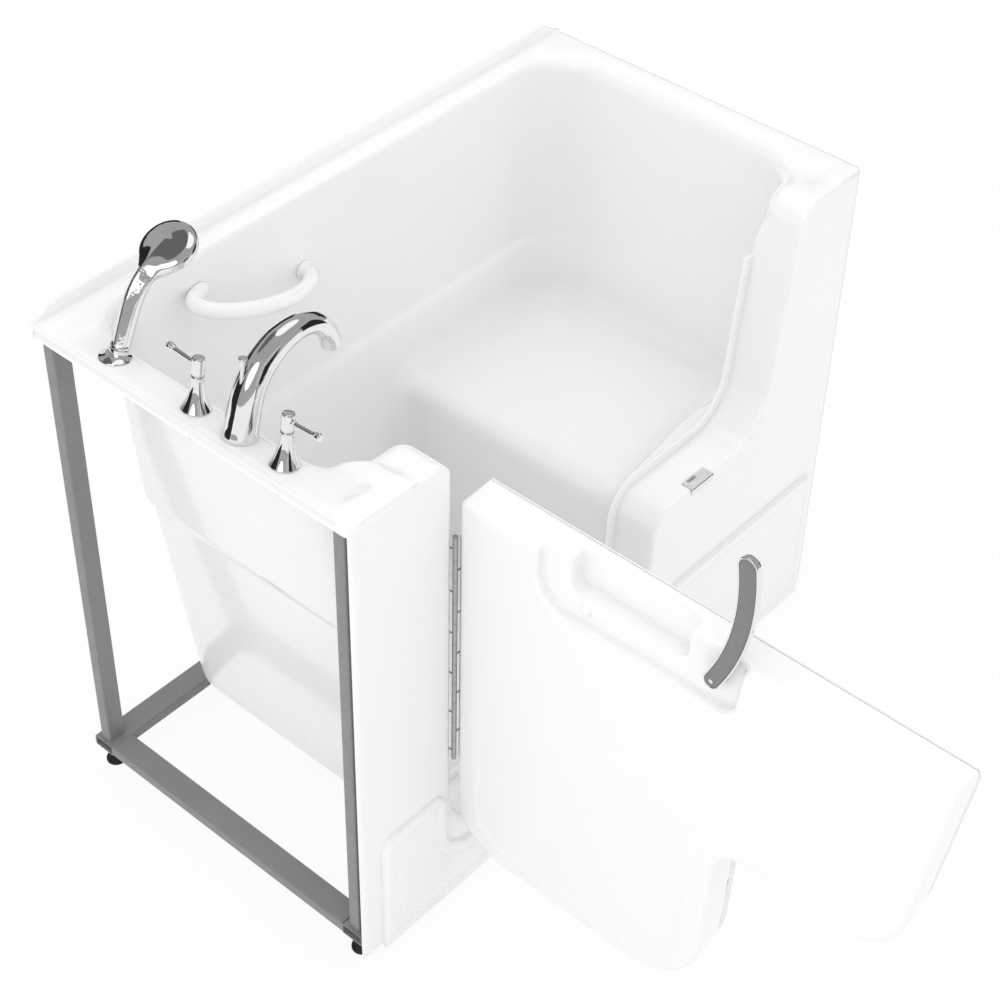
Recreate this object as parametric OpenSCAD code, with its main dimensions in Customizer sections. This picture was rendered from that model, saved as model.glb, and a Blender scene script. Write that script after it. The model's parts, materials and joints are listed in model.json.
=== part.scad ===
// Walk-in bathtub with an outward swinging, notched door.
// Drawn from the outer corner at the faucet end and the door side, floor level, then
// moved so that the origin lies on the floor under the middle of the tub.
// +X runs to the seat end, +Y to the wall side, +Z up. The door stands open at rest.

/* [Overall] */
// Length of the tub from the faucet end to the seat end
tub_l = 1346; // [1300:2:1420]
// Width of the tub from the door side to the wall side
tub_w = 737; // [710:1:790]
// Height of the deck above the floor
deck_h = 1065; // [1040:5:1100]
// Thickness of the moulded sheet
sheet_t = 6; // [4:0.5:7]

/* [Basin] */
// Deck between the faucet end and the basin
faucet_deck = 84; // [80:1:96]
// Deck behind the backrest
back_deck = 26; // [20:1:36]
// Deck between the basin and the wall
wall_deck = 45; // [40:1:60]
// Inside height of the footwell floor
floor_h = 121; // [118:1:140]
// Height of the seat
seat_h = 520; // [490:5:540]
// Front of the seat, from the faucet end
seat_x = 822; // [810:1:850]
// Distance of the backrest's foot from the seat end
backrest_in = 84; // [70:1:110]
// Height of the ledge round the basin
ledge_h = 652; // [630:1:680]
// Width of the ledge
ledge_w = 9; // [5:1:14]

/* [Door] */
// Hinge line, from the faucet end
hinge_x = 233; // [225:1:245]
// Width of the door along its top edge
door_w = 917; // [890:1:930]
// Width of the leg of the door
leg_w = 533; // [510:1:550]
// Height of the lower edge of the door
door_low = 158; // [150:1:175]
// Height of the step under the head of the door
door_step = 571; // [560:1:590]
// Height of the upper edge of the door
door_top = 978; // [940:1:990]
// Thickness of the door
door_t = 77; // [70:1:80]
// Gap between the door and the tub
door_gap = 5; // [4:0.5:8]
// How far the door stands open
door_open = 90; // [0:1:110]

/* [Latch] */
// Length of the lever between its pivot and its end
lever_l = 255; // [235:1:262]
// Width of the lever
lever_w = 36; // [28:1:38]
// Thickness of the lever
lever_t = 12; // [10:0.5:13]
// Turn of the lever between open and shut
lever_turn = 107; // [95:1:110]
// Radius of the crank that drives the bolt
crank_r = 9; // [7:0.5:10]

/* [Faucet] */
// Distance between neighbouring deck fittings
tap_pitch = 100; // [90:1:110]
// Spout, from the door side
spout_y = 284; // [270:1:300]
// Hand shower, from the wall side
shower_in = 160; // [140:1:180]
// Slope of the shelf that carries the fittings
shelf_tilt = 9; // [4:0.5:11]
// Reach of the spout
spout_reach = 208; // [180:1:220]
// Height of the spout's crown above the shelf
spout_rise = 158; // [140:1:170]

/* [Frame] */
// Width of the base rails
rail_w = 50; // [40:1:55]
// Height of the base rails
rail_h = 25; // [20:1:30]
// Height of the levelling feet
foot_h = 45; // [35:1:50]
// Width of the posts along the tub
post_x = 38; // [30:1:45]
// Width of the posts across the tub
post_y = 25; // [20:1:30]
// Wall of the steel tube
tube_t = 2; // [1.5:0.5:3]

/* [Hidden] */

$fn = 32;
over = 1;            // overrun of every cut
seat_gap = 0.3;      // rest gap between pieces that only lie against each other
run_gap = 0.05;      // radial running clearance
arc_n = 7;           // steps in a moulded corner
white = "#f7f7f7";
steel = "#8a8a8a";
chrome_c = "#c9ccd0";
frame_c = "#7b7b7b";
black_c = "#202020";

// Skirt, rim and flange
skirt_low = 14;
lip_drop = 18;
flange_h = 28;
flange_run = 60;
fillet_l = 38;
fillet_r = 52;

// Jamb, stop and seal
jamb_d = 92;
stop_w = 22;
door_in = 0;
door_draft = 7;
door_round = 15;
leg_lean = 15;
head_lean = 45;
door_r = [12, 112, 150, 58, 108, 12];
way_ease = 30;       // the leg corner of the doorway is tighter by this than the one of the door
liner_t = 4;
seal_in = door_draft + liner_t * 0.6;
seal_w = (stop_w - door_gap - seal_in) * 0.9;
seal_end = 30;

// Basin outline at the deck, the ledge, the seat and the floor
lip_cut = 0.6;
basin_y = jamb_d + sheet_t - lip_cut;
left_ledge = 131;
left_floor = 204;
back_top = 56;
shoulder_h = 66;
wall_floor = 77;
arm_foot = 108;
arm_top = 640;
seat_fall = 2;
corner_r = 70;
back_r = 95;
seat_fillet = 42;
floor_fillet = 48;
seat_nose = 40;
deck_nose = 11;
riser_lean = 8;

// Levels of the door and the frame
frame_end = 4;
frame_side = 8;
rail_top = foot_h + rail_h;
knuckle_r = 4.5;
door_x = hinge_x + knuckle_r + seat_gap;
open_x = hinge_x - knuckle_r - seat_gap;
hinge_y = -3.5;
deck_low = deck_h - sheet_t;

function row_place() = [-tub_l / 2, -tub_w / 2, 0];
module in_row() { translate(row_place()) children(); }

// Outline helpers. A corner list becomes a rounded outline with arc_n steps at each corner.
function unit(v) = v / norm(v);
function turn_of(a) = a > 180 ? a - 360 : a < -180 ? a + 360 : a;
function corner(p, q, s, r) =
    let (u = unit(p - q), v = unit(s - q), half = acos(max(-1, min(1, u * v))) / 2,
         c = q + unit(u + v) * r / sin(half),
         a = q + u * r / tan(half) - c, b = q + v * r / tan(half) - c,
         a0 = atan2(a.y, a.x), da = turn_of(atan2(b.y, b.x) - a0))
    [for (i = [0:arc_n]) c + r * [cos(a0 + da * i / arc_n), sin(a0 + da * i / arc_n)]];
function rounded(pts, rs) =
    let (n = len(pts))
    [for (i = [0:n - 1]) each (rs[i] > 0
        ? corner(pts[(i + n - 1) % n], pts[i], pts[(i + 1) % n], rs[i]) : [pts[i]])];
function at_z(pts, z) = [for (p = pts) [p.x, p.y, z]];
function at_y(pts, y) = [for (p = pts) [p.x, y, p.y]];

function middle(pts) = [for (k = [0:2]) sum_of(pts, k) / len(pts)];
function sum_of(pts, k, i = 0) = i < len(pts) ? pts[i][k] + sum_of(pts, k, i + 1) : 0;
function moved_to(p, q) = [p.x, q.y, p.z];

// Skin over a list of rings that have the same number of points. Each end is a fan of triangles
// round its heart, a point from which the whole ring is in view.
module loft(rings, heart = undef) {
    n = len(rings[0]);
    m = len(rings);
    a0 = is_undef(heart) ? middle(rings[0]) : moved_to(heart, rings[0][0]);
    a1 = is_undef(heart) ? middle(rings[m - 1]) : moved_to(heart, rings[m - 1][0]);
    polyhedron(
        points = [for (r = rings) each r, a0, a1],
        faces = [
            for (i = [0:n - 1]) [m * n, i, (i + 1) % n],
            for (i = [0:n - 1]) [m * n + 1, (m - 1) * n + (i + 1) % n, (m - 1) * n + i],
            for (k = [0:m - 2], i = [0:n - 1])
                let (j = (i + 1) % n, a = k * n)
                each [[a + i, a + n + i, a + n + j], [a + i, a + n + j, a + j]]
        ]);
}
// Extrudes an X-Z outline from y0 to y1
module across(y0, y1) { translate([0, y1, 0]) rotate([90, 0, 0]) linear_extrude(y1 - y0) children(); }
// Square tube along one axis, open at both ends
module tube_x(l, w, h) {
    rotate([90, 0, 90]) linear_extrude(l) difference() {
        square([w, h]);
        translate([tube_t, tube_t]) square([w - 2 * tube_t, h - 2 * tube_t]);
    }
}
module tube_y(l, w, h) { translate([w, 0, 0]) rotate([0, 0, 90]) tube_x(l, w, h); }
module tube_z(l, w, h) {
    linear_extrude(l) difference() {
        square([w, h]);
        translate([tube_t, tube_t]) square([w - 2 * tube_t, h - 2 * tube_t]);
    }
}

// Outline of the door, closed, in X and Z, grown by g, or by h at the hinge side and the top
function door_pts(g, h) = [
    [door_x - h, door_top + h], [door_x - h, door_low - g],
    [door_x + leg_w + g, door_low - g], [door_x + leg_w + leg_lean + g, door_step - g],
    [door_x + door_w - head_lean + g, door_step - g], [door_x + door_w + g, door_top + h]];
function door_rs(g) = [for (i = [0:5]) i == 3 ? door_r[i] - g : max(door_r[i] + g, sheet_t / 3)];
function door_line(g, h = undef) = rounded(door_pts(g, is_undef(h) ? g : h), door_rs(g));
door_heart = [door_x + leg_w / 2, 0, (door_step + door_top) / 2];

// Outline of the doorway, open at the top, with the deck flared into both jambs
head_rise = deck_h - door_top;
way_up = 0.5;
head_slope = head_lean / (door_top - door_step);
open_right = door_x + door_w + door_gap + head_rise * head_slope;
function way_pts(g) =
    let (d = door_pts(door_gap + g, door_gap + g))
    [[open_x - 2 * fillet_l, deck_h + over + lip_drop], [open_x - 2 * fillet_l, deck_h + way_up - g],
     [open_x - g, deck_h + way_up - g], [open_x - g, door_low - door_gap - g],
     d[2], d[3], d[4], [open_right + g, deck_h + way_up - g],
     [open_right + 2 * fillet_r, deck_h + way_up - g], [open_right + 2 * fillet_r, deck_h + over + lip_drop]];
function way_rs(g) = [0, 0, fillet_l - g, door_r[1] + door_x - open_x + g,
    door_r[2] + door_gap - way_ease + g, door_r[3] - door_gap - g, door_r[4] + door_gap + g, fillet_r - g, 0, 0];
function way_line(g) = rounded(way_pts(g), way_rs(g));

// One ring of the basin. The corners at xm part the footwell from the seat; g grows the ring.
function basin_ring(z, xl, xm, xr, yf, yfr, yw, ywr, g, rl, rr) =
    at_z(rounded([[xl - g, yf - g], [xm, yf - g], [xr + g, yfr - g], [xr + g, ywr + g], [xm, yw + g], [xl - g, yw + g]],
                 [rl + g, 0, rr + g, rr + g, 0, rl + g]), z);
function mix(a, b, k) = a + (b - a) * k;
nose_x = seat_x + seat_nose;
back_foot = tub_l - backrest_in;
wall_top = tub_w - wall_deck - sheet_t / 3;
wall_ledge = wall_top - ledge_w;
// Inside faces at height z below the ledge: faucet end, wall side and backrest
function left_at(z) = mix(left_floor, left_ledge + ledge_w, (z - floor_h) / (ledge_h - floor_h));
function wall_at(z) = mix(tub_w - wall_floor, wall_ledge, (z - floor_h) / (ledge_h - floor_h));
function back_at(z) = mix(back_foot, tub_l - back_top, (z - seat_h) / (deck_h - shoulder_h - seat_h));

// The whole basin from the footwell floor to the deck. g is 0 inside and sheet_t outside.
function basin_rings(g) = concat(
    [for (a = [0, 30, 60, 90])
        let (z = floor_h + floor_fillet - (floor_fillet + g) * cos(a), q = (floor_fillet + g) * sin(a) - floor_fillet,
             x = seat_x - riser_lean)
        basin_ring(z, left_at(z), mix(left_at(z), x, 0.7), x, basin_y, basin_y, wall_at(z), wall_at(z), q, corner_r, corner_r)],
    [for (a = [0, 30, 60, 90])
        let (z = seat_h - seat_nose + (seat_nose - g) * sin(a), x = nose_x - (seat_nose - g) * cos(a) - g)
        basin_ring(z, left_at(z), mix(left_at(z), x, 0.8), x, basin_y, basin_y, wall_at(z), wall_at(z), g, corner_r, corner_r * 0.6)],
    [for (a = [0, 30, 60, 88])
        let (z = seat_h + seat_fall + seat_fillet - (seat_fillet + g) * cos(a), q = seat_fillet - (seat_fillet + g) * sin(a) + g)
        basin_ring(z, left_at(z), nose_x, back_at(z) - q, basin_y, basin_y + arm_foot * (1 - a / 300),
                   wall_at(z), wall_at(z) - q, g, corner_r, back_r - q)],
    [for (k = [0.55, 0.2])
        let (z = mix(arm_top, seat_h + seat_fillet, k))
        basin_ring(z, left_at(z), nose_x, back_at(z), basin_y, basin_y + arm_foot * k * k, wall_at(z), wall_at(z), g, corner_r, back_r)],
    [basin_ring(ledge_h, left_at(ledge_h), nose_x, back_at(ledge_h), basin_y, basin_y, wall_ledge, wall_ledge, g, corner_r, back_r),
     basin_ring(ledge_h + ledge_w, left_ledge, nose_x, back_at(ledge_h) + ledge_w / 3, basin_y, basin_y, wall_top, wall_top,
                g, corner_r, back_r),
     basin_ring(deck_h - shoulder_h, mix(left_ledge, faucet_deck, 0.84), nose_x, tub_l - back_top, basin_y, basin_y,
                wall_top, wall_top, g, corner_r, back_r),
     basin_ring(deck_h - shoulder_h / 3, faucet_deck + over, nose_x, mix(tub_l - back_top, tub_l - back_deck, 0.32),
                basin_y, basin_y, wall_top, wall_top, g, corner_r, back_r)],
    [for (a = [0, 30, 60, 90])
        let (q = deck_nose - (deck_nose - g) * cos(a))
        basin_ring(deck_h - deck_nose + (deck_nose - g) * sin(a), faucet_deck, nose_x,
                   mix(tub_l - back_top, tub_l - back_deck, 0.6 + a / 225) - deck_nose * a / 90, basin_y, basin_y,
                   wall_top, wall_top, q, corner_r, back_r)],
    [basin_ring(g > 0 ? deck_h - sheet_t / 2 : deck_h + over, faucet_deck, nose_x, tub_l - back_deck - deck_nose, basin_y, basin_y,
                wall_top, wall_top, deck_nose, corner_r, back_r)]);

// Positions that several pieces share
shelf_x = 12;
shelf_w = 66;
shelf_y0 = 62;
shelf_end = 85;
shelf_y1 = tub_w - shelf_end;
fit_x = 36;
tap_hole_r = 15;
hot_y = spout_y - tap_pitch;
cold_y = spout_y + tap_pitch;
shower_y = tub_w - shower_in;
drain_x = 300;
drain_y = 375;
drain_r = 24;
strike_x0 = 880;
strike_l = 82;
strike_d = 30;
strike_t = 1.5;
strike_drop = 14;
bolt_w = 20;
bolt_t = 4;
bolt_clear = 1;
bolt_x = 920;
bolt_y = 20;
bar_x = [330, 580];
bar_z = [983, 899];
bar_r = 15;
bar_out = 92;
bar_root_r = 23;
bar_stud_r = 4;

// Puts a deck fitting on the sloped shelf, with its own +Z square to it
module on_shelf(y) {
    translate([shelf_x, y, deck_h]) rotate([0, shelf_tilt, 0]) translate([fit_x, 0, 0]) children();
}
shelf_y = [hot_y, spout_y, cold_y, shower_y];

// Access panel outline in X and Z, grown by g
panel_out = 11;
panel_low = 8;
panel_x0 = 50;
panel_x1 = tub_l - 24;
panel_wing = 300;
panel_head = 350;
panel_drop = 28;
panel_dip = door_low - door_gap - panel_drop;
panel_hip = 213;
panel_knee = seat_x + 12;
function panel_pts(g) = [
    [panel_x0 - g, panel_wing + g], [panel_x0 - g, panel_low - g], [panel_x1 + g, panel_low - g],
    [panel_x1 + g, panel_head + g], [panel_knee - g, panel_head + g], [panel_knee - g, panel_dip + g],
    [panel_hip + g, panel_dip + g], [panel_hip + g, panel_wing + g]];
panel_r = [34, 3, 3, 30, 55, 45, 75, 30];
function panel_rs(g) = [for (i = [0:7])
    let (out = (i == 5 || i == 6) ? -1 : 1) max(panel_r[i] + out * g, sheet_t / 3)];
function panel_line(g) = rounded(panel_pts(g), panel_rs(g));
hatch_in = 46;

module tub_shell() {
    color(white) in_row() difference() {
        union() {
            // Deck with its down-turned lips
            difference() {
                translate([0, 0, deck_h - lip_drop]) cube([tub_l, tub_w, lip_drop]);
                translate([sheet_t, sheet_t, deck_h - lip_drop - over])
                    cube([tub_l - 2 * sheet_t, tub_w - 2 * sheet_t, lip_drop - sheet_t + over]);
            }
            // Sloped shelf under the deck fittings
            translate([shelf_x, shelf_y0, deck_h]) rotate([0, shelf_tilt, 0])
                translate([0, 0, -sheet_t]) cube([shelf_w, shelf_y1 - shelf_y0, sheet_t]);
            translate([shelf_x, shelf_y0 - sheet_t, deck_h - lip_drop])
                cube([shelf_w, sheet_t, lip_drop]);
            translate([shelf_x, shelf_y1, deck_h - lip_drop]) cube([shelf_w, sheet_t, lip_drop]);
            // Upstand against the wall, run out at both ends
            translate([0, tub_w, 0]) rotate([90, 0, 0]) linear_extrude(sheet_t)
                polygon([[0, deck_h - sheet_t], [tub_l, deck_h - sheet_t], [tub_l, deck_h + sheet_t],
                         [tub_l - flange_run, deck_h + flange_h], [flange_run, deck_h + flange_h],
                         [0, deck_h + sheet_t]]);
            // Skirt on the door side
            across(0, sheet_t) polygon([[0, skirt_low], [tub_l, skirt_low], [tub_l, deck_h], [0, deck_h]]);
            // Jamb round the doorway
            intersection() {
                across(0, jamb_d + sheet_t / 2) polygon(way_line(sheet_t));
                cube([tub_l, basin_y, deck_h - over]);
            }
            loft(basin_rings(sheet_t));
        }
        loft(basin_rings(0));
        // Doorway through the skirt and the jamb, and the smaller one through the stop
        across(-over, jamb_d) polygon(way_line(0));
        across(-2 * over, basin_y + fillet_l) polygon(way_line(-stop_w));
        // Upper face of the sloped shelf
        translate([shelf_x, shelf_y0, deck_h]) rotate([0, shelf_tilt, 0])
            cube([shelf_w + shelf_x, shelf_y1 - shelf_y0, lip_drop]);
        // Hatch behind the access panel
        across(-over, sheet_t + over) polygon(panel_line(-hatch_in));
        for (y = shelf_y) on_shelf(y) translate([0, 0, -2 * sheet_t]) cylinder(h = 4 * sheet_t, r = tap_hole_r);
        translate([drain_x, drain_y, floor_h - sheet_t - over]) cylinder(h = sheet_t + 2 * over, r = drain_r);
        // Slot for the latch bolt
        translate([bolt_x - bolt_w / 2 - bolt_clear, bolt_y - bolt_t / 2 - bolt_clear,
                   door_step - door_gap - sheet_t - over])
            cube([bolt_w + 2 * bolt_clear, bolt_t + 2 * bolt_clear, sheet_t + 2 * over]);
        for (i = [0, 1]) translate([bar_x[i], tub_w - wall_deck - over - sheet_t, bar_z[i]]) rotate([-90, 0, 0])
            cylinder(h = 3 * sheet_t + over, r = bar_stud_r + run_gap);
    }
}

// Removable panel with a raised border, clipped to the skirt
panel_border = 26;
panel_step = 3;
module access_panel() {
    color(white) in_row() difference() {
        union() {
            across(-panel_out + panel_step, 0) polygon(panel_line(0));
            across(-panel_out, 0) polygon(panel_line(-panel_step));
        }
        across(-panel_out + sheet_t, over) polygon(panel_line(-sheet_t));
        across(-panel_out - over, -panel_out + panel_step / 2) difference() {
            polygon(panel_line(-panel_border));
            polygon(panel_line(-panel_border - panel_step));
        }
    }
}
clip_w = 30;
clip_t = 1.5;
wing_share = 0.5;
dip_shares = [0.43, 0.78];
head_shares = [0.24, 0.525, 0.81];
clip_x = [mix(panel_x0, panel_hip, wing_share), for (k = dip_shares) mix(panel_hip, panel_knee, k),
          for (k = head_shares) mix(panel_knee, panel_x1, k)];
clip_top = [panel_wing, panel_dip, panel_dip, panel_head, panel_head, panel_head];
module panel_clips() {
    reach = panel_out - sheet_t;
    color(steel) in_row() for (i = [0:len(clip_x) - 1])
        translate([clip_x[i] - clip_w / 2, -reach, clip_top[i] - hatch_in - seat_gap]) {
            translate([0, 0, -clip_w]) cube([clip_w, clip_t, clip_w]);
            translate([0, 0, -clip_t]) cube([clip_w, reach + 2 * sheet_t, clip_t]);
        }
}

// Grab bar moulded as one bowed handle, with studs through the basin wall. Its middle line runs over
// two curves, whose points are shares of the length between the studs and of the reach.
bar_wall = wall_top;
bar_len = norm([bar_x[1] - bar_x[0], bar_z[1] - bar_z[0]]);
bar_dip = atan2(bar_z[0] - bar_z[1], bar_x[1] - bar_x[0]);
bar_end = bar_r * 0.4;
bar_steps = 9;
bar_low_shares = [[0, 0], [-0.33, 0.42], [-0.17, 1], [0.27, 1]];
bar_high_shares = [[0.27, 1], [0.58, 1], [1, 0.55], [1, 0]];
function bar_point(c, t) = let (q = bezier(c[0], c[1], c[2], c[3], t)) [q.x * bar_len, q.y * bar_out];
bar_path = concat([for (i = [0:bar_steps]) bar_point(bar_low_shares, i / bar_steps)],
                  [for (i = [1:bar_steps - 1]) bar_point(bar_high_shares, i / bar_steps)], [[bar_len, bar_end]]);
module bar_place() { translate([bar_x[0], bar_wall, bar_z[0]]) rotate([0, bar_dip, 0]) children(); }
module grab_bar() {
    color(white) in_row() bar_place() {
        rotate([90, 0, 0]) swept(bar_path, [for (q = bar_path) [bar_r, bar_r]], 20);
        for (x = [0, bar_len]) translate([x, 0, 0]) {
            rotate([90, 0, 0]) rotate_extrude() polygon([[0, 0], [bar_root_r, 0], [bar_r, bar_root_r / 2], [0, bar_root_r / 2]]);
            rotate([-90, 0, 0]) cylinder(h = sheet_t + bar_root_r, r = bar_stud_r);
        }
    }
}
nut_h = 7;
module grab_bar_nuts() {
    color(steel) in_row() bar_place() for (s = [0, 1])
        translate([s * bar_len, 2 * sheet_t, 0]) rotate([-90, 0, 0]) difference() {
            union() {
                cylinder(h = clip_t, r = bar_root_r * 0.7);
                cylinder(h = nut_h, r = 2 * bar_stud_r, $fn = 6);
            }
            translate([0, 0, -over]) cylinder(h = nut_h + 2 * over, r = bar_stud_r + run_gap);
        }
}

// Strike plate bent over the front edge of the ledge
strike_z = door_step - door_gap;
module latch_strike() {
    color(chrome_c) in_row() difference() {
        union() {
            translate([strike_x0, -strike_t, strike_z]) cube([strike_l, strike_d + strike_t, strike_t]);
            translate([strike_x0, -strike_t, strike_z - strike_drop]) cube([strike_l, strike_t, strike_drop + strike_t]);
        }
        translate([bolt_x - bolt_w / 2 - bolt_clear / 2, bolt_y - bolt_t / 2 - bolt_clear / 2, strike_z - over])
            cube([bolt_w + bolt_clear, bolt_t + bolt_clear, strike_t + 2 * over]);
        for (s = [0, 1]) translate([strike_x0 + strike_l * (s == 0 ? 0.14 : 0.86), strike_d / 2, strike_z - over])
            cylinder(h = strike_t + 2 * over, r = strike_t + run_gap);
    }
}
module strike_screws() {
    color(steel) in_row() for (s = [0, 1])
        translate([strike_x0 + strike_l * (s == 0 ? 0.14 : 0.86), strike_d / 2, strike_z]) {
            translate([0, 0, -2 * sheet_t]) cylinder(h = 2 * sheet_t + strike_t, r = strike_t);
            translate([0, 0, strike_t]) cylinder(h = strike_t / 2, r = 2 * strike_t);
        }
}

// Continuous hinge. Its knuckles belong in turn to the tub's leaf and the door's leaf.
hinge_z0 = 372;
hinge_l = 527;
knuckle_n = 11;
pin_r = 2;
leaf_t = 1.5;
leaf_w = 34;
leaf_gap = 0.4;
knuckle = hinge_l / knuckle_n;
hinge_screw_r = 2;
hinge_head_r = 3.6;
hinge_head_t = 1.2;
module knuckles(first) {
    for (k = [first:2:knuckle_n - 1]) translate([0, 0, hinge_z0 + k * knuckle + leaf_gap / 2]) children();
}
module hinge_leaf(first, x_leaf, x_end) {
    difference() {
        union() {
            knuckles(first) cylinder(h = knuckle - leaf_gap, r = knuckle_r);
            knuckles(first) translate([min(x_leaf, x_end), 0, 0]) cube([abs(x_end - x_leaf), leaf_w, knuckle - leaf_gap]);
            translate([min(x_leaf, x_end), knuckle_r + leaf_gap, hinge_z0 + leaf_gap / 2])
                cube([abs(x_end - x_leaf), leaf_w - knuckle_r - leaf_gap, hinge_l - leaf_gap]);
        }
        translate([0, 0, hinge_z0 - over]) cylinder(h = hinge_l + 2 * over, r = pin_r + run_gap);
        for (k = [0:knuckle_n - 1]) translate([min(x_leaf, x_end) - over, leaf_w * 0.66, hinge_z0 + (k + 0.5) * knuckle])
            rotate([0, 90, 0]) cylinder(h = leaf_t + 2 * over, r = hinge_screw_r + run_gap);
    }
}
module at_hinge() { in_row() translate([hinge_x, hinge_y, 0]) children(); }
module hinge_leaf_tub() { color(steel) at_hinge() hinge_leaf(0, -knuckle_r, -knuckle_r + leaf_t); }
module hinge_pin() {
    color(steel) at_hinge() translate([0, 0, hinge_z0]) {
        cylinder(h = hinge_l, r = pin_r);
        translate([0, 0, hinge_l + leaf_gap / 2]) cylinder(h = pin_r, r = knuckle_r - leaf_gap);
        translate([0, 0, hinge_l - over]) cylinder(h = over + leaf_gap, r = pin_r);
    }
}
module hinge_screw_row(x_head, dir, grip) {
    for (k = [0:knuckle_n - 1]) translate([x_head, leaf_w * 0.66, hinge_z0 + (k + 0.5) * knuckle])
        rotate([0, dir * 90, 0]) {
            cylinder(h = hinge_head_t, r = hinge_head_r);
            translate([0, 0, -grip]) cylinder(h = grip, r = hinge_screw_r);
        }
}
module hinge_screws_tub() {
    color(steel) at_hinge() hinge_screw_row(-knuckle_r + leaf_t, 1, leaf_t + sheet_t + 2 * over);
}

// Deck fittings, each with its own +Z square to the shelf
bell_r = 28;
bell_top_r = 12;
bell_h = 62;
cap_r = 13;
cap_h = 35;
spindle_r = 6;
valve_r = 17;
valve_l = 40;
inlet_r = 10.4;
inlet_l = 14;
tap_lever = 72;
lever_rod_r = 3.2;
lever_knob_r = 6.5;
module tap_bell() {
    color(chrome_c) difference() {
        rotate_extrude() polygon([[0, seat_gap], [bell_r, seat_gap], [bell_r, bell_h * 0.08], [bell_r * 0.9, bell_h * 0.2],
            [bell_r * 0.72, bell_h * 0.42], [bell_r * 0.56, bell_h * 0.68], [bell_top_r * 1.08, bell_h * 0.9],
            [bell_top_r, bell_h], [0, bell_h]]);
        translate([0, 0, -over]) cylinder(h = bell_h + 2 * over, r = spindle_r + 1);
        translate([0, 0, -over]) cylinder(h = bell_h * 0.3 + over, r = valve_r * 0.7);
    }
}
module tap_valve() {
    color(steel) difference() {
        union() {
            translate([0, 0, -valve_l]) cylinder(h = valve_l - sheet_t - seat_gap, r = valve_r);
            translate([0, 0, -sheet_t - over]) cylinder(h = sheet_t + over + bell_h * 0.2, r = valve_r * 0.6);
            translate([0, 0, -valve_l - inlet_l]) cylinder(h = inlet_l + over, r = inlet_r);
        }
        translate([0, 0, -valve_l / 2]) cylinder(h = valve_l, r = spindle_r + run_gap);
    }
}
module tap_handle(side) {
    color(chrome_c) {
        translate([0, 0, -sheet_t]) cylinder(h = bell_h + 2 * sheet_t, r = spindle_r);
        translate([0, 0, bell_h + seat_gap]) rotate_extrude()
            polygon([[0, 0], [bell_top_r, 0], [cap_r, cap_h * 0.1], [cap_r, cap_h * 0.94], [cap_r * 0.9, cap_h], [0, cap_h]]);
        translate([0, 0, bell_h + cap_h * 0.72]) rotate([-side * 90, 0, 0]) {
            cylinder(h = tap_lever - lever_knob_r, r1 = lever_rod_r, r2 = lever_rod_r * 1.3);
            translate([0, 0, tap_lever - 2 * lever_knob_r]) rotate_extrude()
                polygon([[0, 0], [lever_rod_r, 0], [lever_knob_r, lever_knob_r], [lever_knob_r * 0.9, 2 * lever_knob_r],
                         [0, 2 * lever_knob_r]]);
        }
    }
}
module hot_bell() { in_row() on_shelf(hot_y) tap_bell(); }
module cold_bell() { in_row() on_shelf(cold_y) tap_bell(); }
module hot_valve() { in_row() on_shelf(hot_y) tap_valve(); }
module cold_valve() { in_row() on_shelf(cold_y) tap_valve(); }
module hot_handle() { in_row() on_shelf(hot_y) tap_handle(-1); }
module cold_handle() { in_row() on_shelf(cold_y) tap_handle(1); }

// Sweep of an ellipse along a curve in the X-Z plane that starts upright. half[i] is the half width
// across and in the plane.
function path_dir(p, i) = i == 0 ? [0, 1] : unit(p[min(i + 1, len(p) - 1)] - p[i - 1]);
function ellipse_ring(c, d, h, n) = [for (k = [0:n - 1])
    let (a = 360 * k / n, u = h[1] * cos(a), v = h[0] * sin(a)) [c.x + u * d.y, v, c.y - u * d.x]];
module swept(path, half, n) {
    loft([for (i = [0:len(path) - 1]) ellipse_ring(path[i], path_dir(path, i), half[i], n)]);
}
function bezier(a, b, c, d, t) =
    a * pow(1 - t, 3) + b * 3 * t * pow(1 - t, 2) + c * 3 * t * t * (1 - t) + d * pow(t, 3);

spout_r = [31, 20.5, 17];
spout_mid = spout_reach * 0.54;
spout_tip_z = spout_rise * 0.61;
spout_steps = 7;
function spout_path() = concat(
    [for (i = [0:spout_steps]) bezier([0, seat_gap], [0, spout_rise * 0.5], [spout_mid * 0.3, spout_rise],
                                      [spout_mid, spout_rise], i / spout_steps)],
    [for (i = [1:spout_steps]) bezier([spout_mid, spout_rise], [spout_mid * 1.5, spout_rise],
                                      [spout_mid * 1.9, spout_rise * 0.86], [spout_reach, spout_tip_z], i / spout_steps)]);
function spout_half(i) = let (k = i / spout_steps)
    k < 1 ? mix(spout_r[0], spout_r[1], pow(k, 0.55)) : mix(spout_r[1], spout_r[2], k - 1);
knob_x = -2;
knob_r = 8;
knob_stem_r = 3.2;
knob_z0 = 100;
knob_h = 26;
aerator_r = 13;
aerator_t = 10;
module at_spout_tip() {
    p = spout_path();
    d = path_dir(p, len(p) - 1);
    translate([p[len(p) - 1].x, 0, p[len(p) - 1].y]) rotate([0, 90 - atan2(d.y, d.x), 0]) children();
}
module spout() {
    p = spout_path();
    color(chrome_c) in_row() on_shelf(spout_y) difference() {
        union() {
            swept(p, [for (i = [0:len(p) - 1]) [spout_half(i), spout_half(i)]], 20);
            translate([0, 0, -valve_l]) cylinder(h = valve_l + over, r = tap_hole_r - over);
        }
        at_spout_tip() translate([0, 0, -aerator_t]) cylinder(h = aerator_t + over, r = aerator_r + run_gap);
        translate([knob_x, 0, knob_z0 - knob_h]) cylinder(h = 3 * knob_h, r = knob_stem_r + run_gap);
    }
}
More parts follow.
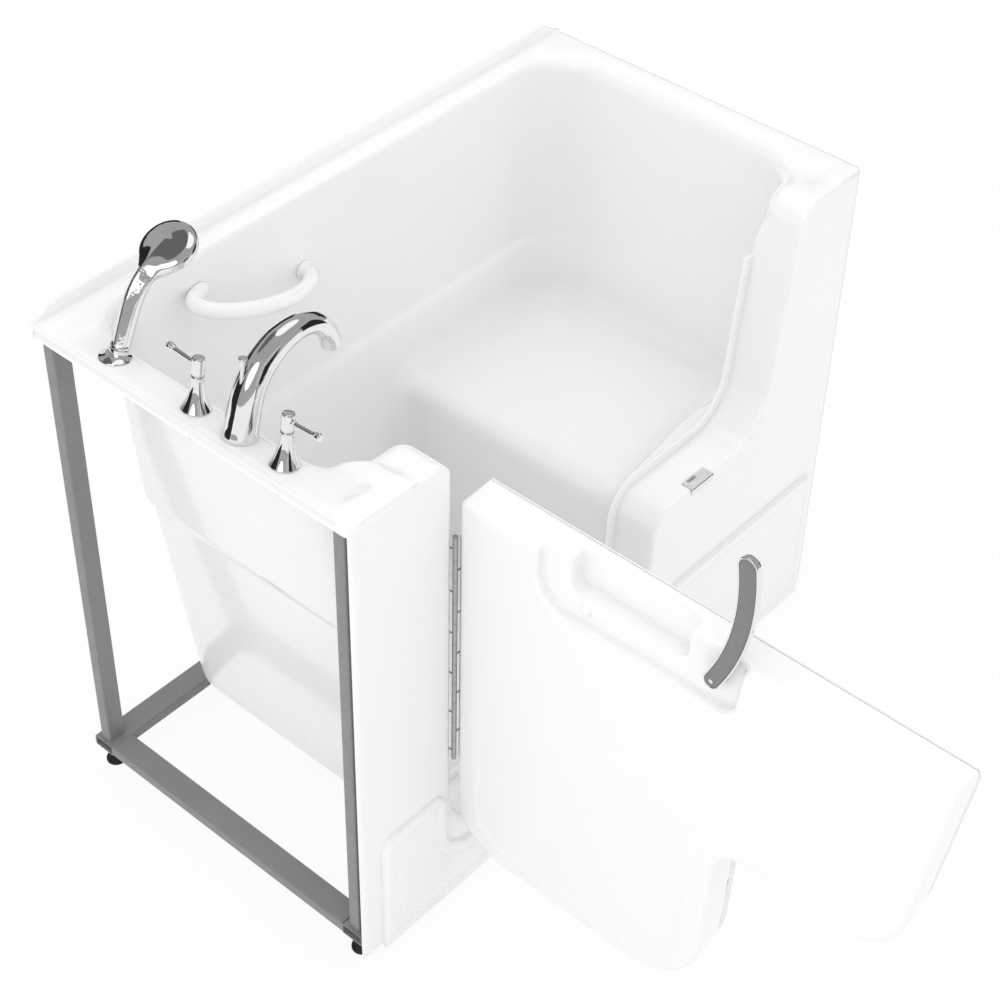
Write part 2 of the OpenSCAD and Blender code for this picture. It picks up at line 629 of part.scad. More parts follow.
module spout_nut() {
    color(steel) in_row() on_shelf(spout_y) translate([0, 0, -sheet_t - seat_gap - nut_h]) difference() {
        cylinder(h = nut_h, r = tap_hole_r * 1.6, $fn = 6);
        translate([0, 0, -over]) cylinder(h = nut_h + 2 * over, r = tap_hole_r - over + run_gap);
    }
}
module aerator() {
    color(steel) in_row() on_shelf(spout_y) at_spout_tip() translate([0, 0, -aerator_t + seat_gap]) difference() {
        cylinder(h = aerator_t, r = aerator_r);
        translate([0, 0, aerator_t / 2]) cylinder(h = aerator_t, r = aerator_r * 0.8);
    }
}
module diverter_knob() {
    color(chrome_c) in_row() on_shelf(spout_y) translate([knob_x, 0, knob_z0]) {
        translate([0, 0, -knob_h * 0.7]) cylinder(h = 2 * knob_h, r = knob_stem_r);
        translate([0, 0, knob_h]) rotate_extrude()
            polygon([[0, 0], [knob_stem_r * 1.3, 0], [knob_r * 0.75, knob_h * 0.45], [knob_r, knob_h * 0.6],
                     [knob_r * 0.85, knob_h * 0.68], [0, knob_h * 0.68]]);
    }
}

// Hand shower standing in a socket on the shelf
holder_r = 28;
holder_h = 9;
socket_r = 17;
socket_x = 5;
socket_tilt = 14;
socket_h = 22;
socket_low = socket_r * tan(socket_tilt) + seat_gap;
shower_root_r = 11;
shower_steps = 12;
shower_l = 226;
shower_head_r = 50;
shower_head_t = 17;
module at_socket() { translate([socket_x, 0, 0]) rotate([0, socket_tilt, 0]) translate([0, 0, socket_h]) children(); }
module shower_holder() {
    color(chrome_c) in_row() on_shelf(shower_y) difference() {
        union() {
            rotate_extrude() polygon([[0, seat_gap], [holder_r, seat_gap], [holder_r, holder_h * 0.3],
                [holder_r * 0.8, holder_h * 0.8], [socket_r * 0.9, holder_h], [0, holder_h]]);
            translate([0, 0, -valve_l]) cylinder(h = valve_l + holder_h, r = tap_hole_r - over);
            at_socket() translate([0, 0, -socket_h + socket_low]) cylinder(h = socket_h - socket_low, r = socket_r);
        }
        at_socket() translate([0, 0, -socket_h]) cylinder(h = socket_h + over, r = shower_root_r + run_gap);
        translate([0, 0, -valve_l - over]) cylinder(h = valve_l, r = shower_root_r * 0.6);
    }
}
module shower_nut() {
    color(steel) in_row() on_shelf(shower_y) translate([0, 0, -sheet_t - seat_gap - nut_h]) difference() {
        cylinder(h = nut_h, r = tap_hole_r * 1.6, $fn = 6);
        translate([0, 0, -over]) cylinder(h = nut_h + 2 * over, r = tap_hole_r - over + run_gap);
    }
}
function shower_path() = [for (i = [0:shower_steps])
    bezier([0, seat_gap], [0, shower_l * 0.34], [shower_l * 0.02, shower_l * 0.5],
           [shower_l * 0.42, shower_l * 0.94], i / shower_steps)];
shower_half_share = [0.33, 0.34, 0.35, 0.36, 0.37, 0.39, 0.48, 0.74, 0.94, 1, 0.97, 0.78, 0.1];
shower_deep_share = [0.98, 1.0, 1.03, 1.06, 1.06, 1.04, 1.0, 0.98, 0.98, 0.96, 0.86, 0.6, 0.08];
module shower_handle() {
    color(chrome_c) in_row() on_shelf(shower_y) at_socket() difference() {
        union() {
            swept(shower_path(), [for (i = [0:shower_steps])
                [shower_head_r * shower_half_share[i], shower_head_t * shower_deep_share[i]]], 20);
            translate([0, 0, -socket_h * 0.8]) cylinder(h = socket_h * 0.8 + over, r = shower_root_r);
        }
        at_face() translate([0, 0, -over]) cylinder(h = shower_head_t + over, r = face_r + run_gap);
    }
}
face_i = 9;
face_r = 41;
face_t = 4;
module at_face() {
    p = shower_path();
    d = path_dir(p, face_i);
    translate([p[face_i].x, 0, p[face_i].y]) rotate([0, 180 - atan2(d.y, d.x), 0])
        translate([0, 0, shower_head_t * 0.55]) children();
}
jet_r = 1.6;
module shower_face() {
    color(steel) in_row() on_shelf(shower_y) at_socket() at_face() difference() {
        cylinder(h = face_t, r = face_r);
        for (ring = [1:3], k = [0:6 * ring - 1]) rotate([0, 0, 60 / ring * k])
            translate([ring * face_r * 0.27, 0, face_t / 2]) cylinder(h = face_t, r = jet_r);
    }
}

// Drain in the footwell floor, with a lifting stopper
drain_lip_r = 35;
drain_lip_t = 3;
drain_tail = 26;
pipe_r = 24.1;
pipe_wall = 2.5;
elbow_drop = 20;
outlet_l = 70;
stem_r = 4;
stopper_r = 20;
stopper_t = 5;
module at_drain() { in_row() translate([drain_x, drain_y, floor_h]) children(); }
module drain_flange() {
    color(chrome_c) at_drain() difference() {
        union() {
            translate([0, 0, seat_gap]) cylinder(h = drain_lip_t, r1 = drain_lip_r, r2 = drain_lip_r * 0.93);
            translate([0, 0, -drain_tail]) cylinder(h = drain_tail + over, r = drain_r - over);
        }
        translate([0, 0, -drain_tail - over]) cylinder(h = drain_tail + drain_lip_t + 3 * over, r = drain_r - 3 * over);
    }
    color(chrome_c) at_drain() translate([0, 0, -drain_tail]) difference() {
        union() {
            for (a = [0, 90]) rotate([0, 0, a]) translate([-drain_r + 2 * over, -over, 0]) cube([2 * (drain_r - 2 * over), 2 * over, 4 * over]);
            cylinder(h = 4 * over, r = 2 * stem_r);
        }
        translate([0, 0, -over]) cylinder(h = drain_tail, r = stem_r + run_gap);
    }
}
module drain_gasket() {
    color(black_c) at_drain() translate([0, 0, -sheet_t - seat_gap - drain_lip_t]) difference() {
        cylinder(h = drain_lip_t, r = drain_lip_r);
        translate([0, 0, -over]) cylinder(h = drain_lip_t + 2 * over, r = drain_r - over + run_gap);
    }
}
module drain_elbow() {
    color(white) at_drain() translate([0, 0, -drain_tail - seat_gap]) difference() {
        union() {
            translate([0, 0, -elbow_drop]) cylinder(h = elbow_drop + drain_tail - sheet_t - drain_lip_t - seat_gap, r = drain_r + pipe_wall);
            translate([0, 0, -elbow_drop]) rotate([0, 90, 0]) cylinder(h = outlet_l, r = pipe_r);
            translate([0, 0, -elbow_drop]) sphere(pipe_r);
        }
        translate([0, 0, -elbow_drop]) cylinder(h = 3 * drain_tail, r = drain_r - over + run_gap);
        translate([0, 0, -elbow_drop]) rotate([0, 90, 0]) cylinder(h = outlet_l + over, r = pipe_r - pipe_wall);
        translate([0, 0, -elbow_drop]) sphere(pipe_r - pipe_wall);
    }
}
module drain_stopper() {
    color(chrome_c) at_drain() {
        translate([0, 0, -drain_tail + seat_gap]) cylinder(h = drain_tail, r = stem_r);
        translate([0, 0, -over]) rotate_extrude()
            polygon([[0, 0], [stopper_r - over, 0], [stopper_r, over], [stopper_r, stopper_t * 0.7], [stopper_r * 0.8, stopper_t], [0, stopper_t]]);
    }
}

// Steel frame
rail_y0 = frame_side;
rail_y1 = tub_w - frame_end - rail_w;
post_in = (rail_w - post_y) / 2;
end_l = rail_y1 - rail_y0 - rail_w;
module base_rail_front() {
    color(frame_c) in_row() translate([frame_end, rail_y0, foot_h]) tube_x(tub_l - 2 * frame_end, rail_w, rail_h);
}
module base_rail_wall() {
    color(frame_c) in_row() translate([frame_end, rail_y1, foot_h]) tube_x(tub_l - 2 * frame_end, rail_w, rail_h);
}
module cross_rail(x) { color(frame_c) in_row() translate([x, rail_y0 + rail_w, foot_h]) tube_y(end_l, rail_w, rail_h); }
module base_rail_faucet() { cross_rail(frame_end); }
module base_rail_seat() { cross_rail(tub_l - frame_end - rail_w); }
module base_rail_centre() { cross_rail((tub_l - rail_w) / 2); }
module post(x, y) { color(frame_c) in_row() translate([x, y, rail_top]) tube_z(deck_low - rail_top - seat_gap, post_x, post_y); }
post_xa = frame_end + sheet_t;
post_xb = tub_l - post_xa - post_x;
post_ya = rail_y0 + post_in;
post_yb = rail_y1 + post_in;
module post_front_faucet() { post(post_xa, post_ya); }
module post_wall_faucet() { post(post_xa, post_yb); }
module post_front_seat() { post(post_xb, post_ya); }
module post_wall_seat() { post(post_xb, post_yb); }
module top_rail_wall() {
    color(frame_c) in_row() translate([post_xa + post_x, tub_w - sheet_t - seat_gap - post_y, deck_low - seat_gap - post_y])
        tube_x(post_xb - post_xa - post_x, post_y, post_y);
}
bearer_w = 30;
bearer_x = [400, 640];
module floor_bearers() {
    h = floor_h - sheet_t - rail_top - seat_gap;
    color(frame_c) in_row() for (x = bearer_x) translate([x, rail_y0, rail_top]) tube_y(rail_y1 + rail_w - rail_y0, bearer_w, h);
}
seat_beam = 25;
seat_beam_in = [78, 156];
seat_beam_x = [seat_x + seat_beam_in[0], tub_l - seat_beam_in[1]];
seat_low = seat_h - sheet_t - seat_gap;
module seat_legs() {
    color(frame_c) in_row() for (x = seat_beam_x, y = [post_ya, post_yb])
        translate([x, y, rail_top]) tube_z(seat_low - seat_beam - rail_top, seat_beam, seat_beam);
}
module seat_bearers() {
    color(frame_c) in_row() for (x = seat_beam_x)
        translate([x, post_ya, seat_low - seat_beam]) tube_y(post_yb + post_y - post_ya, seat_beam, seat_beam);
}
foot_r = 20;
pad_h = 12;
stud_r = 6;
foot_x = [frame_end + rail_w / 2, tub_l - frame_end - rail_w / 2];
foot_y = [rail_y0 + rail_w / 2, rail_y1 + rail_w / 2];
foot_at = concat([for (x = foot_x, y = foot_y) [x, y, 0]], [[tub_l / 2, tub_w / 2, 0]]);
module foot_pads() {
    color(black_c) in_row() for (p = foot_at) translate(p) rotate_extrude()
        polygon([[0, 0], [foot_r, 0], [foot_r, pad_h * 0.45], [foot_r * 0.55, pad_h], [0, pad_h]]);
}
module foot_studs() {
    color(steel) in_row() for (p = foot_at) translate(p) translate([0, 0, pad_h]) cylinder(h = foot_h - pad_h, r = stud_r);
}
module foot_nuts() {
    color(steel) in_row() for (p = foot_at) translate(p) translate([0, 0, foot_h - nut_h]) difference() {
        cylinder(h = nut_h, r = 1.7 * stud_r, $fn = 6);
        translate([0, 0, -over]) cylinder(h = nut_h + 2 * over, r = stud_r + run_gap);
    }
}

// The door is drawn closed and swung about the hinge pin
module swing() {
    at_hinge() rotate([0, 0, -door_open]) translate([-hinge_x, -hinge_y, 0]) children();
}
recess_d = 18;
recess_x0 = 161;
recess_x1 = 560;
recess_low = 868;
recess_r = 62;
pocket_x0 = 215;
pocket_x1 = 443;
pocket_low = 908;
pocket_d = 52;
pocket_r = 26;
pivot_s = 503;
pivot_z = 928;
nub_r = 9;
skin_t = 5;
door_back = door_in + door_t;
function recess_line() = rounded([[door_x + recess_x0, door_top + recess_r], [door_x + recess_x0, recess_low - recess_r / 9],
    [door_x + recess_x1 - recess_d, recess_low + recess_r / 9], [door_x + recess_x1, door_top + recess_r]],
    [0, recess_r, recess_r / 2, 0]);
function pocket_line(g) = rounded([[door_x + pocket_x0 - g, door_top + recess_r], [door_x + pocket_x0 - g, pocket_low - g],
    [door_x + pocket_x1 + g, pocket_low - g], [door_x + pocket_x1 + g, door_top + recess_r]],
    [0, pocket_r + g, pocket_r + g, 0]);
module recess_cut(g) {
    intersection() {
        translate([door_x, 0, 0]) cube([door_w, door_back, door_top - (g > 0 ? 0 : -over)]);
        union() {
            across(-over, door_in + recess_d + g) polygon(g > 0 ? grown_recess() : recess_line());
            across(-over, door_in + pocket_d + g) polygon(pocket_line(g));
        }
    }
}
function grown_recess() = rounded([[door_x + recess_x0 - skin_t, door_top + recess_r],
    [door_x + recess_x0 - skin_t, recess_low - recess_r / 9 - skin_t],
    [door_x + recess_x1 - recess_d + skin_t, recess_low + recess_r / 9 - skin_t],
    [door_x + recess_x1 + skin_t, door_top + recess_r]], [0, recess_r, recess_r / 2, 0]);
shaft_r = 8;
boss_r = 16;
crank_t = 4;
crank_y = 60;
lever_tilt = 8.4;
lever_dip = lever_turn - 90 - lever_tilt;
boss_l = crank_y - crank_t - seat_gap - door_in - recess_d;
module at_pivot() { translate([door_x + pivot_s, door_in + recess_d, pivot_z]) rotate([-90, 0, 0]) children(); }
module door_panel() {
    edge = door_back - liner_t - seat_gap;
    color(white) swing() difference() {
        union() {
            difference() {
                loft([at_y(door_line(-door_draft, 0), edge),
                      at_y(door_line(0), door_in + door_round),
                      for (a = [18, 36, 54, 72]) at_y(door_line(-door_round * (1 - cos(a))), door_in + door_round * (1 - sin(a))),
                      at_y(door_line(-door_round), door_in)], door_heart);
                difference() {
                    across(door_in + skin_t, edge + over) polygon(door_line(-door_draft - skin_t - over));
                    recess_cut(skin_t);
                    at_pivot() translate([0, 0, -over]) cylinder(h = boss_l + over, r = boss_r);
                }
            }
        }
        recess_cut(0);
        at_pivot() translate([0, 0, -2 * over]) cylinder(h = 3 * boss_r, r = shaft_r + sheet_t / 3);
        // Way out for the bolt
        translate([bolt_x - bolt_w / 2 - bolt_clear, bolt_y - bolt_t / 2 - bolt_clear, door_step - over])
            cube([bolt_w + 2 * bolt_clear, bolt_t + 2 * bolt_clear, skin_t + door_draft + 3 * over]);
    }
    // Stop that the closed lever rests on
    color(white) swing() translate([door_x + pivot_s - lever_l * cos(lever_dip), door_in + recess_d, pivot_z - lever_l * sin(lever_dip)])
        intersection() {
            sphere(nub_r);
            translate([-nub_r, -nub_r, -nub_r]) cube([2 * nub_r, nub_r + over, 2 * nub_r]);
        }
}
module door_liner() {
    color(white) swing() difference() {
        loft([at_y(door_line(-door_draft - liner_t / 2, -liner_t / 2), door_back),
              at_y(door_line(-door_draft, 0), door_back - liner_t / 2),
              at_y(door_line(-door_draft, 0), door_back - liner_t)], door_heart);
    }
}
module door_seal() {
    depth = jamb_d - door_back - 2 * seat_gap;
    color("#dedede") swing() difference() {
        across(door_back + seat_gap, door_back + seat_gap + depth) difference() {
            polygon(door_line(-seal_in));
            polygon(door_line(-seal_in - seal_w));
        }
        translate([door_x, door_back, door_top - seal_end]) cube([door_w, jamb_d, seal_end + over]);
    }
}
module hinge_leaf_door() { color(steel) swing() translate([hinge_x, hinge_y, 0]) hinge_leaf(1, knuckle_r, knuckle_r - leaf_t); }
module hinge_screws_door() {
    color(steel) swing() translate([hinge_x, hinge_y, 0]) hinge_screw_row(knuckle_r - leaf_t, -1, leaf_t + skin_t + 3 * over);
}

// Latch: the lever turns a crank whose pin runs in a slot of the bolt plate
bush_wall = 2;
pin_len = 8;
crank_pin_r = 3;
slot_play = 0.7;
arm_h = 26;
bolt_stop = door_step + sheet_t / 2;
lever_y = -4;
half_turn = lever_turn / 2;
bolt_travel = 2 * crank_r * sin(half_turn);
module latch_bush() {
    color(steel) swing() at_pivot() difference() {
        union() {
            cylinder(h = boss_l, r = shaft_r + bush_wall - run_gap);
            translate([0, 0, -2 * over - seat_gap]) cylinder(h = over, r = shaft_r + 2 * bush_wall);
            translate([0, 0, -2 * over - seat_gap]) cylinder(h = 3 * over, r = shaft_r + bush_wall - run_gap);
        }
        translate([0, 0, -4 * over]) cylinder(h = 3 * boss_r, r = shaft_r + run_gap);
    }
}
// Curved outline of the lever, bulging to the right of the line from the pivot to its end
lever_sag = 20;
lever_steps = 14;
function lever_mid(t) = [lever_sag * 4 * t * (1 - t), lever_l * t];
function lever_side(s, g) = [for (i = [0:lever_steps])
    let (t = i / lever_steps, p = lever_mid(t), d = unit([lever_sag * 4 * (1 - 2 * t), lever_l]),
         w = lever_w / 2 * (0.86 + 0.14 * t) - g) p + s * w * [d.y, -d.x]];
end_steps = 9;
end_turn = 180 / (end_steps + 1);
lever_lean = atan2(4 * lever_sag, lever_l);
function round_end(c, r, a0) = [for (i = [1:end_steps]) c + r * [cos(a0 + end_turn * i), sin(a0 + end_turn * i)]];
function reversed(v) = [for (i = [len(v) - 1:-1:0]) v[i]];
function lever_line(g) = concat(lever_side(1, g), round_end(lever_mid(1), lever_w * 0.5 - g, lever_lean),
    reversed(lever_side(-1, g)), round_end(lever_mid(0), lever_w * 0.43 - g, 180 - lever_lean));
module at_lever() {
    translate([door_x + pivot_s, lever_y, pivot_z]) rotate([90, 0, 0]) rotate([0, 0, -lever_tilt]) children();
}
grip_in = 3;
grip_t = 2;
module latch_handle() {
    color(chrome_c) swing() at_lever() difference() {
        translate([0, 0, -lever_t]) linear_extrude(lever_t) polygon(lever_line(0));
        translate([0, 0, -grip_t]) linear_extrude(grip_t + over) polygon(lever_line(grip_in));
        translate([0, 0, -lever_t - over]) cylinder(h = lever_t, r = hinge_screw_r + 2 * run_gap);
    }
}
module latch_grip() {
    color("#6f6f6f") swing() at_lever() difference() {
        translate([0, 0, -grip_t + run_gap]) linear_extrude(grip_t) polygon(lever_line(grip_in + run_gap));
        translate([0, 0, -2 * grip_t]) cylinder(h = 3 * grip_t, r = hinge_head_r + 2 * run_gap);
    }
}
module latch_screw() {
    color(chrome_c) swing() at_lever() {
        translate([0, 0, -grip_t + run_gap]) cylinder(h = grip_t, r = hinge_head_r);
        translate([0, 0, -lever_t - 2 * grip_t]) cylinder(h = lever_t + 2 * grip_t, r = hinge_screw_r);
    }
}
// Crank pin at rest: half the turn above the level of the shaft, towards the hinge
crank_pin = crank_r * [-cos(half_turn), sin(half_turn)];
module latch_shaft() {
    y0 = lever_y + lever_t + seat_gap;
    color(steel) swing() translate([door_x + pivot_s, 0, pivot_z]) difference() {
        union() {
            translate([0, y0, 0]) rotate([-90, 0, 0]) cylinder(h = crank_y - y0, r = shaft_r);
            translate([0, crank_y - crank_t, 0]) rotate([-90, 0, 0]) cylinder(h = crank_t, r = crank_r + 2 * crank_pin_r);
            translate([crank_pin.x, crank_y - over, crank_pin.y]) rotate([-90, 0, 0]) cylinder(h = pin_len, r = crank_pin_r);
        }
        translate([0, y0 - over, 0]) rotate([-90, 0, 0]) cylinder(h = 2 * grip_t + 2 * over, r = hinge_screw_r + 2 * run_gap);
    }
}
bolt_plate_y = crank_y + seat_gap;
module latch_bolt() {
    slot_x = door_x + pivot_s + crank_pin.x;
    slot_z = pivot_z + crank_pin.y;
    top = slot_z + arm_h / 2;
    color(steel) swing() difference() {
        union() {
            translate([slot_x - arm_h, bolt_plate_y, slot_z - arm_h / 2])
                cube([bolt_x + bolt_w / 2 - slot_x + arm_h, bolt_t, arm_h]);
            translate([bolt_x - bolt_w / 2, bolt_plate_y, bolt_stop + arm_h]) cube([bolt_w, bolt_t, top - bolt_stop - arm_h]);
            translate([bolt_x - bolt_w / 2, bolt_y - bolt_t / 2, bolt_stop + arm_h])
                cube([bolt_w, bolt_plate_y - bolt_y + bolt_t * 1.5, bolt_t]);
            translate([bolt_x - bolt_w / 2, bolt_y - bolt_t / 2, bolt_stop]) cube([bolt_w, bolt_t, arm_h + bolt_t]);
        }
        translate([door_x + pivot_s - crank_r - crank_pin_r - slot_play, bolt_plate_y - over, slot_z - crank_pin_r - slot_play])
            cube([crank_r * (1 - cos(half_turn)) + 2 * crank_pin_r + 2 * slot_play, bolt_t + 2 * over,
                  2 * crank_pin_r + 2 * slot_play]);
    }
}
guide_h = 14;
guide_z = [640, 820];
module bolt_guides() {
    y1 = door_back - liner_t - seat_gap;
    color(steel) swing() for (z = guide_z) translate([bolt_x, 0, z]) difference() {
        translate([-bolt_w, bolt_plate_y - bolt_t, 0]) cube([2 * bolt_w, y1 - bolt_plate_y + bolt_t - seat_gap, guide_h]);
        translate([-bolt_w / 2 - seat_gap, bolt_plate_y - seat_gap, -over]) cube([bolt_w + 2 * seat_gap, bolt_t + 2 * seat_gap, guide_h + 2 * over]);
    }
}

tub_shell();
access_panel();
panel_clips();
grab_bar();
grab_bar_nuts();
latch_strike();
strike_screws();
hinge_leaf_tub();
hinge_pin();
hinge_screws_tub();
shower_holder();
shower_nut();
shower_handle();
shower_face();
spout();
spout_nut();
aerator();
diverter_knob();
hot_bell();
hot_valve();
hot_handle();
cold_bell();
cold_valve();
cold_handle();
drain_flange();
drain_gasket();
drain_elbow();
drain_stopper();
base_rail_front();
base_rail_wall();
base_rail_faucet();
base_rail_seat();
base_rail_centre();
post_front_faucet();
post_wall_faucet();
post_front_seat();
post_wall_seat();
top_rail_wall();
floor_bearers();
seat_legs();
seat_bearers();
foot_pads();
foot_studs();
foot_nuts();
door_panel();
door_liner();
door_seal();
hinge_leaf_door();
hinge_screws_door();
latch_bush();
bolt_guides();
latch_handle();
latch_grip();
latch_screw();
latch_shaft();
latch_bolt();
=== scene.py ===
import json
import math

import bmesh
import bpy
import numpy as np
import openvdb as vdb
from mathutils import Matrix, Vector


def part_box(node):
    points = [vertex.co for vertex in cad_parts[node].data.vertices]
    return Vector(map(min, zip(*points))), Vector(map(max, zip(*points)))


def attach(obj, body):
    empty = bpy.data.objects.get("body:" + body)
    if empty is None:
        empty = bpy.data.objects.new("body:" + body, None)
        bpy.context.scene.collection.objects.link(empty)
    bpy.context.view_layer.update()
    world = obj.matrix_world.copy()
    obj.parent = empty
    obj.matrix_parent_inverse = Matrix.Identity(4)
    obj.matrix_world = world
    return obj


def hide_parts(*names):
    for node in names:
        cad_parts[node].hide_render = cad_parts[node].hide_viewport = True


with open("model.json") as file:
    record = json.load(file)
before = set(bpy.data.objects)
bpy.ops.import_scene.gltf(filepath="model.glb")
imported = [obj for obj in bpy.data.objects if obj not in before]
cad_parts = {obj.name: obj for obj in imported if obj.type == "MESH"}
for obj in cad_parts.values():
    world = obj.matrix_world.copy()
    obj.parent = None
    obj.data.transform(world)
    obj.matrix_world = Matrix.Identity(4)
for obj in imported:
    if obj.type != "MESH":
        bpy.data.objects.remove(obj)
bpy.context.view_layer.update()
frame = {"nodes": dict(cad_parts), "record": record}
scene = bpy.context.scene
single = np.float32    # the number type of every sampled field

# Lengths are in millimetres from the outer corner at the faucet end and the door side, at floor
# level. row() turns them into the metres of the CAD frame.
tub = {"l": 1346.0, "w": 737.0, "deck": 1065.0}
shift = np.array([tub["l"] / 2, tub["w"] / 2, 0.0])


def row(points):
    return (np.asarray(points, float) - shift) / 1000.0


# Turns the pair (a, b) by an angle in radians, a towards -b
def tilted(a, b, angle):
    c, s = math.cos(angle), math.sin(angle)
    return a * c + b * s, b * c - a * s


def say(stage):
    print("stage:", stage)


# Found by fitting the corners of the tub to the photograph
view = {"yaw": -0.864, "pitch": 0.727, "roll": 0.026, "at": (-2.325014, -2.072967, 3.238288), "lens": 77.98}


def makeCamera(spec):
    a, e, r = spec["yaw"], spec["pitch"], spec["roll"]
    back = Vector((math.sin(a) * math.cos(e), -math.cos(a) * math.cos(e), math.sin(e)))
    right = Vector((math.cos(a), math.sin(a), 0))
    up = back.cross(right)
    axisX = right * math.cos(r) + up * math.sin(r)
    axisY = up * math.cos(r) - right * math.sin(r)
    data = bpy.data.cameras.new("camera")
    data.lens = spec["lens"]
    data.sensor_width = 36
    data.clip_end = 50
    cam = bpy.data.objects.new("camera", data)
    turn = Matrix((axisX, axisY, back)).transposed().to_4x4()
    cam.matrix_world = Matrix.Translation(spec["at"]) @ turn
    scene.collection.objects.link(cam)
    scene.camera = cam


makeCamera(view)


# A socket that takes part in arithmetic inside its node tree
class Wire:
    def __init__(self, tree, value):
        self.tree, self.value = tree, value

    def output(self, name):
        return Wire(self.tree, self.value.node.outputs[name])

    def math(self, operation, *items):
        return addNode(self.tree, "ShaderNodeMath", {"operation": operation}, dict(enumerate(items)))

    def __add__(self, other):
        return self.math("ADD", self, other)

    def __sub__(self, other):
        return self.math("SUBTRACT", self, other)

    def __rsub__(self, other):
        return self.math("SUBTRACT", other, self)

    def __mul__(self, other):
        return self.math("MULTIPLY", self, other)

    __radd__ = __add__
    __rmul__ = __mul__

    def between(self, low, high, start, end):
        sockets = {"Value": self, "From Min": low, "From Max": high, "To Min": start, "To Max": end}
        settings = {"interpolation_type": "SMOOTHSTEP"}
        return addNode(self.tree, "ShaderNodeMapRange", settings, sockets, "Result")


def plug(tree, item, slot):
    if isinstance(item, Wire):
        tree.links.new(item.value, slot)
    else:
        slot.default_value = item


# Adds a node, its settings first and then its sockets' values or links, and hands back one output
def addNode(tree, kind, settings=None, sockets=None, output=0):
    node = tree.nodes.new(kind)
    for key, value in (settings or {}).items():
        setattr(node, key, value)
    for key, item in (sockets or {}).items():
        plug(tree, item, node.inputs[key])
    return Wire(tree, node.outputs[output]) if len(node.outputs) else None


# One procedural material, made of noise in the object's own space
class Paint:
    def __init__(self, name, **sockets):
        self.material = bpy.data.materials.new(name)
        self.material.use_nodes = True
        self.tree = self.material.node_tree
        self.shader = self.tree.nodes["Principled BSDF"]
        self.place = addNode(self.tree, "ShaderNodeTexCoord", output="Object")
        for key, value in sockets.items():
            self.drive(key.replace("_", " "), value)

    def noise(self, scale, detail=3.0, rough=0.5, stretch=None):
        at = self.place
        if stretch:
            at = addNode(self.tree, "ShaderNodeMapping", sockets={"Vector": at, "Scale": stretch})
        sockets = {"Scale": scale, "Detail": detail, "Roughness": rough, "Vector": at}
        return addNode(self.tree, "ShaderNodeTexNoise", sockets=sockets, output="Fac")

    def blend(self, factor, low, high):
        sockets = {0: factor, 6: (*low, 1), 7: (*high, 1)}
        return addNode(self.tree, "ShaderNodeMix", {"data_type": "RGBA"}, sockets, 2)

    def drive(self, socket, item):
        plug(self.tree, item, self.shader.inputs[socket])

    def bump(self, height, distance, strength):
        sockets = {"Height": height, "Distance": distance, "Strength": strength}
        self.drive("Normal", addNode(self.tree, "ShaderNodeBump", sockets=sockets))


def grey(v):
    return (v, v, v)


def makePaints():
    paints = {}
    p = Paint("whiteGelcoat", Roughness=0.2, Coat_Weight=0.5, Coat_Roughness=0.06)
    wave = p.noise(7, 2)
    p.drive("Base Color", p.blend(wave, (0.93, 0.933, 0.936), (0.95, 0.95, 0.95)))
    p.drive("Roughness", p.noise(60, 3).between(0.3, 0.7, 0.16, 0.24))
    p.bump(p.noise(28, 2) + p.noise(420, 2) * 0.08, 0.0004, 0.25)
    paints["gelcoat"] = p

    p = Paint("chromePlate", Metallic=1.0, Roughness=0.04)
    p.drive("Base Color", p.blend(p.noise(30), grey(0.8), grey(0.86)))
    p.drive("Roughness", p.noise(220, 4).between(0.45, 0.75, 0.03, 0.1))
    p.bump(p.noise(90, 2), 0.0002, 0.15)
    paints["chrome"] = p

    p = Paint("brushedSteel", Metallic=1.0, Roughness=0.3)
    grain = p.noise(1, 4, 0.7, (900, 900, 25))
    p.drive("Base Color", p.blend(grain, grey(0.36), grey(0.52)))
    p.drive("Roughness", grain.between(0.2, 0.8, 0.24, 0.42))
    p.bump(grain, 0.0002, 0.2)
    paints["steel"] = p

    p = Paint("framePaint", Roughness=0.42)
    p.drive("Base Color", p.blend(p.noise(14, 4), grey(0.225), grey(0.26)))
    p.drive("Roughness", p.noise(70).between(0.3, 0.7, 0.36, 0.5))
    p.bump(p.noise(900, 2), 0.0002, 0.35)
    paints["frame"] = p

    p = Paint("blackRubber", Roughness=0.6)
    p.drive("Base Color", p.blend(p.noise(40), grey(0.008), grey(0.018)))
    p.bump(p.noise(600, 3), 0.0003, 0.4)
    paints["rubber"] = p

    p = Paint("sealRubber", Roughness=0.45)
    p.drive("Base Color", p.blend(p.noise(25), grey(0.84), grey(0.88)))
    p.bump(p.noise(500, 3), 0.0002, 0.3)
    paints["seal"] = p

    p = Paint("leverInlay", Roughness=0.3, Coat_Weight=0.3, Coat_Roughness=0.15)
    p.drive("Base Color", p.blend(p.noise(60), grey(0.17), grey(0.2)))
    p.bump(p.noise(1500, 2), 0.0001, 0.3)
    paints["inlay"] = p

    p = Paint("machinedBrass", Metallic=1.0, Roughness=0.3)
    p.drive("Base Color", p.blend(p.noise(50), (0.62, 0.48, 0.24), (0.7, 0.56, 0.3)))
    p.drive("Roughness", p.noise(150).between(0.3, 0.7, 0.25, 0.4))
    paints["brass"] = p

    p = Paint("wastePipe", Roughness=0.35)
    p.drive("Base Color", p.blend(p.noise(30), grey(0.74), grey(0.8)))
    p.bump(p.noise(300), 0.0002, 0.2)
    paints["pipe"] = p
    return paints


paints = makePaints()
slotPaint = {
    "white_gelcoat": "gelcoat", "chrome": "chrome", "stainless": "steel", "brass_fittings": "brass",
    "frame_paint": "frame", "black_rubber": "rubber", "seal_rubber": "seal", "lever_grey": "inlay",
    "pipe_white": "pipe",
}


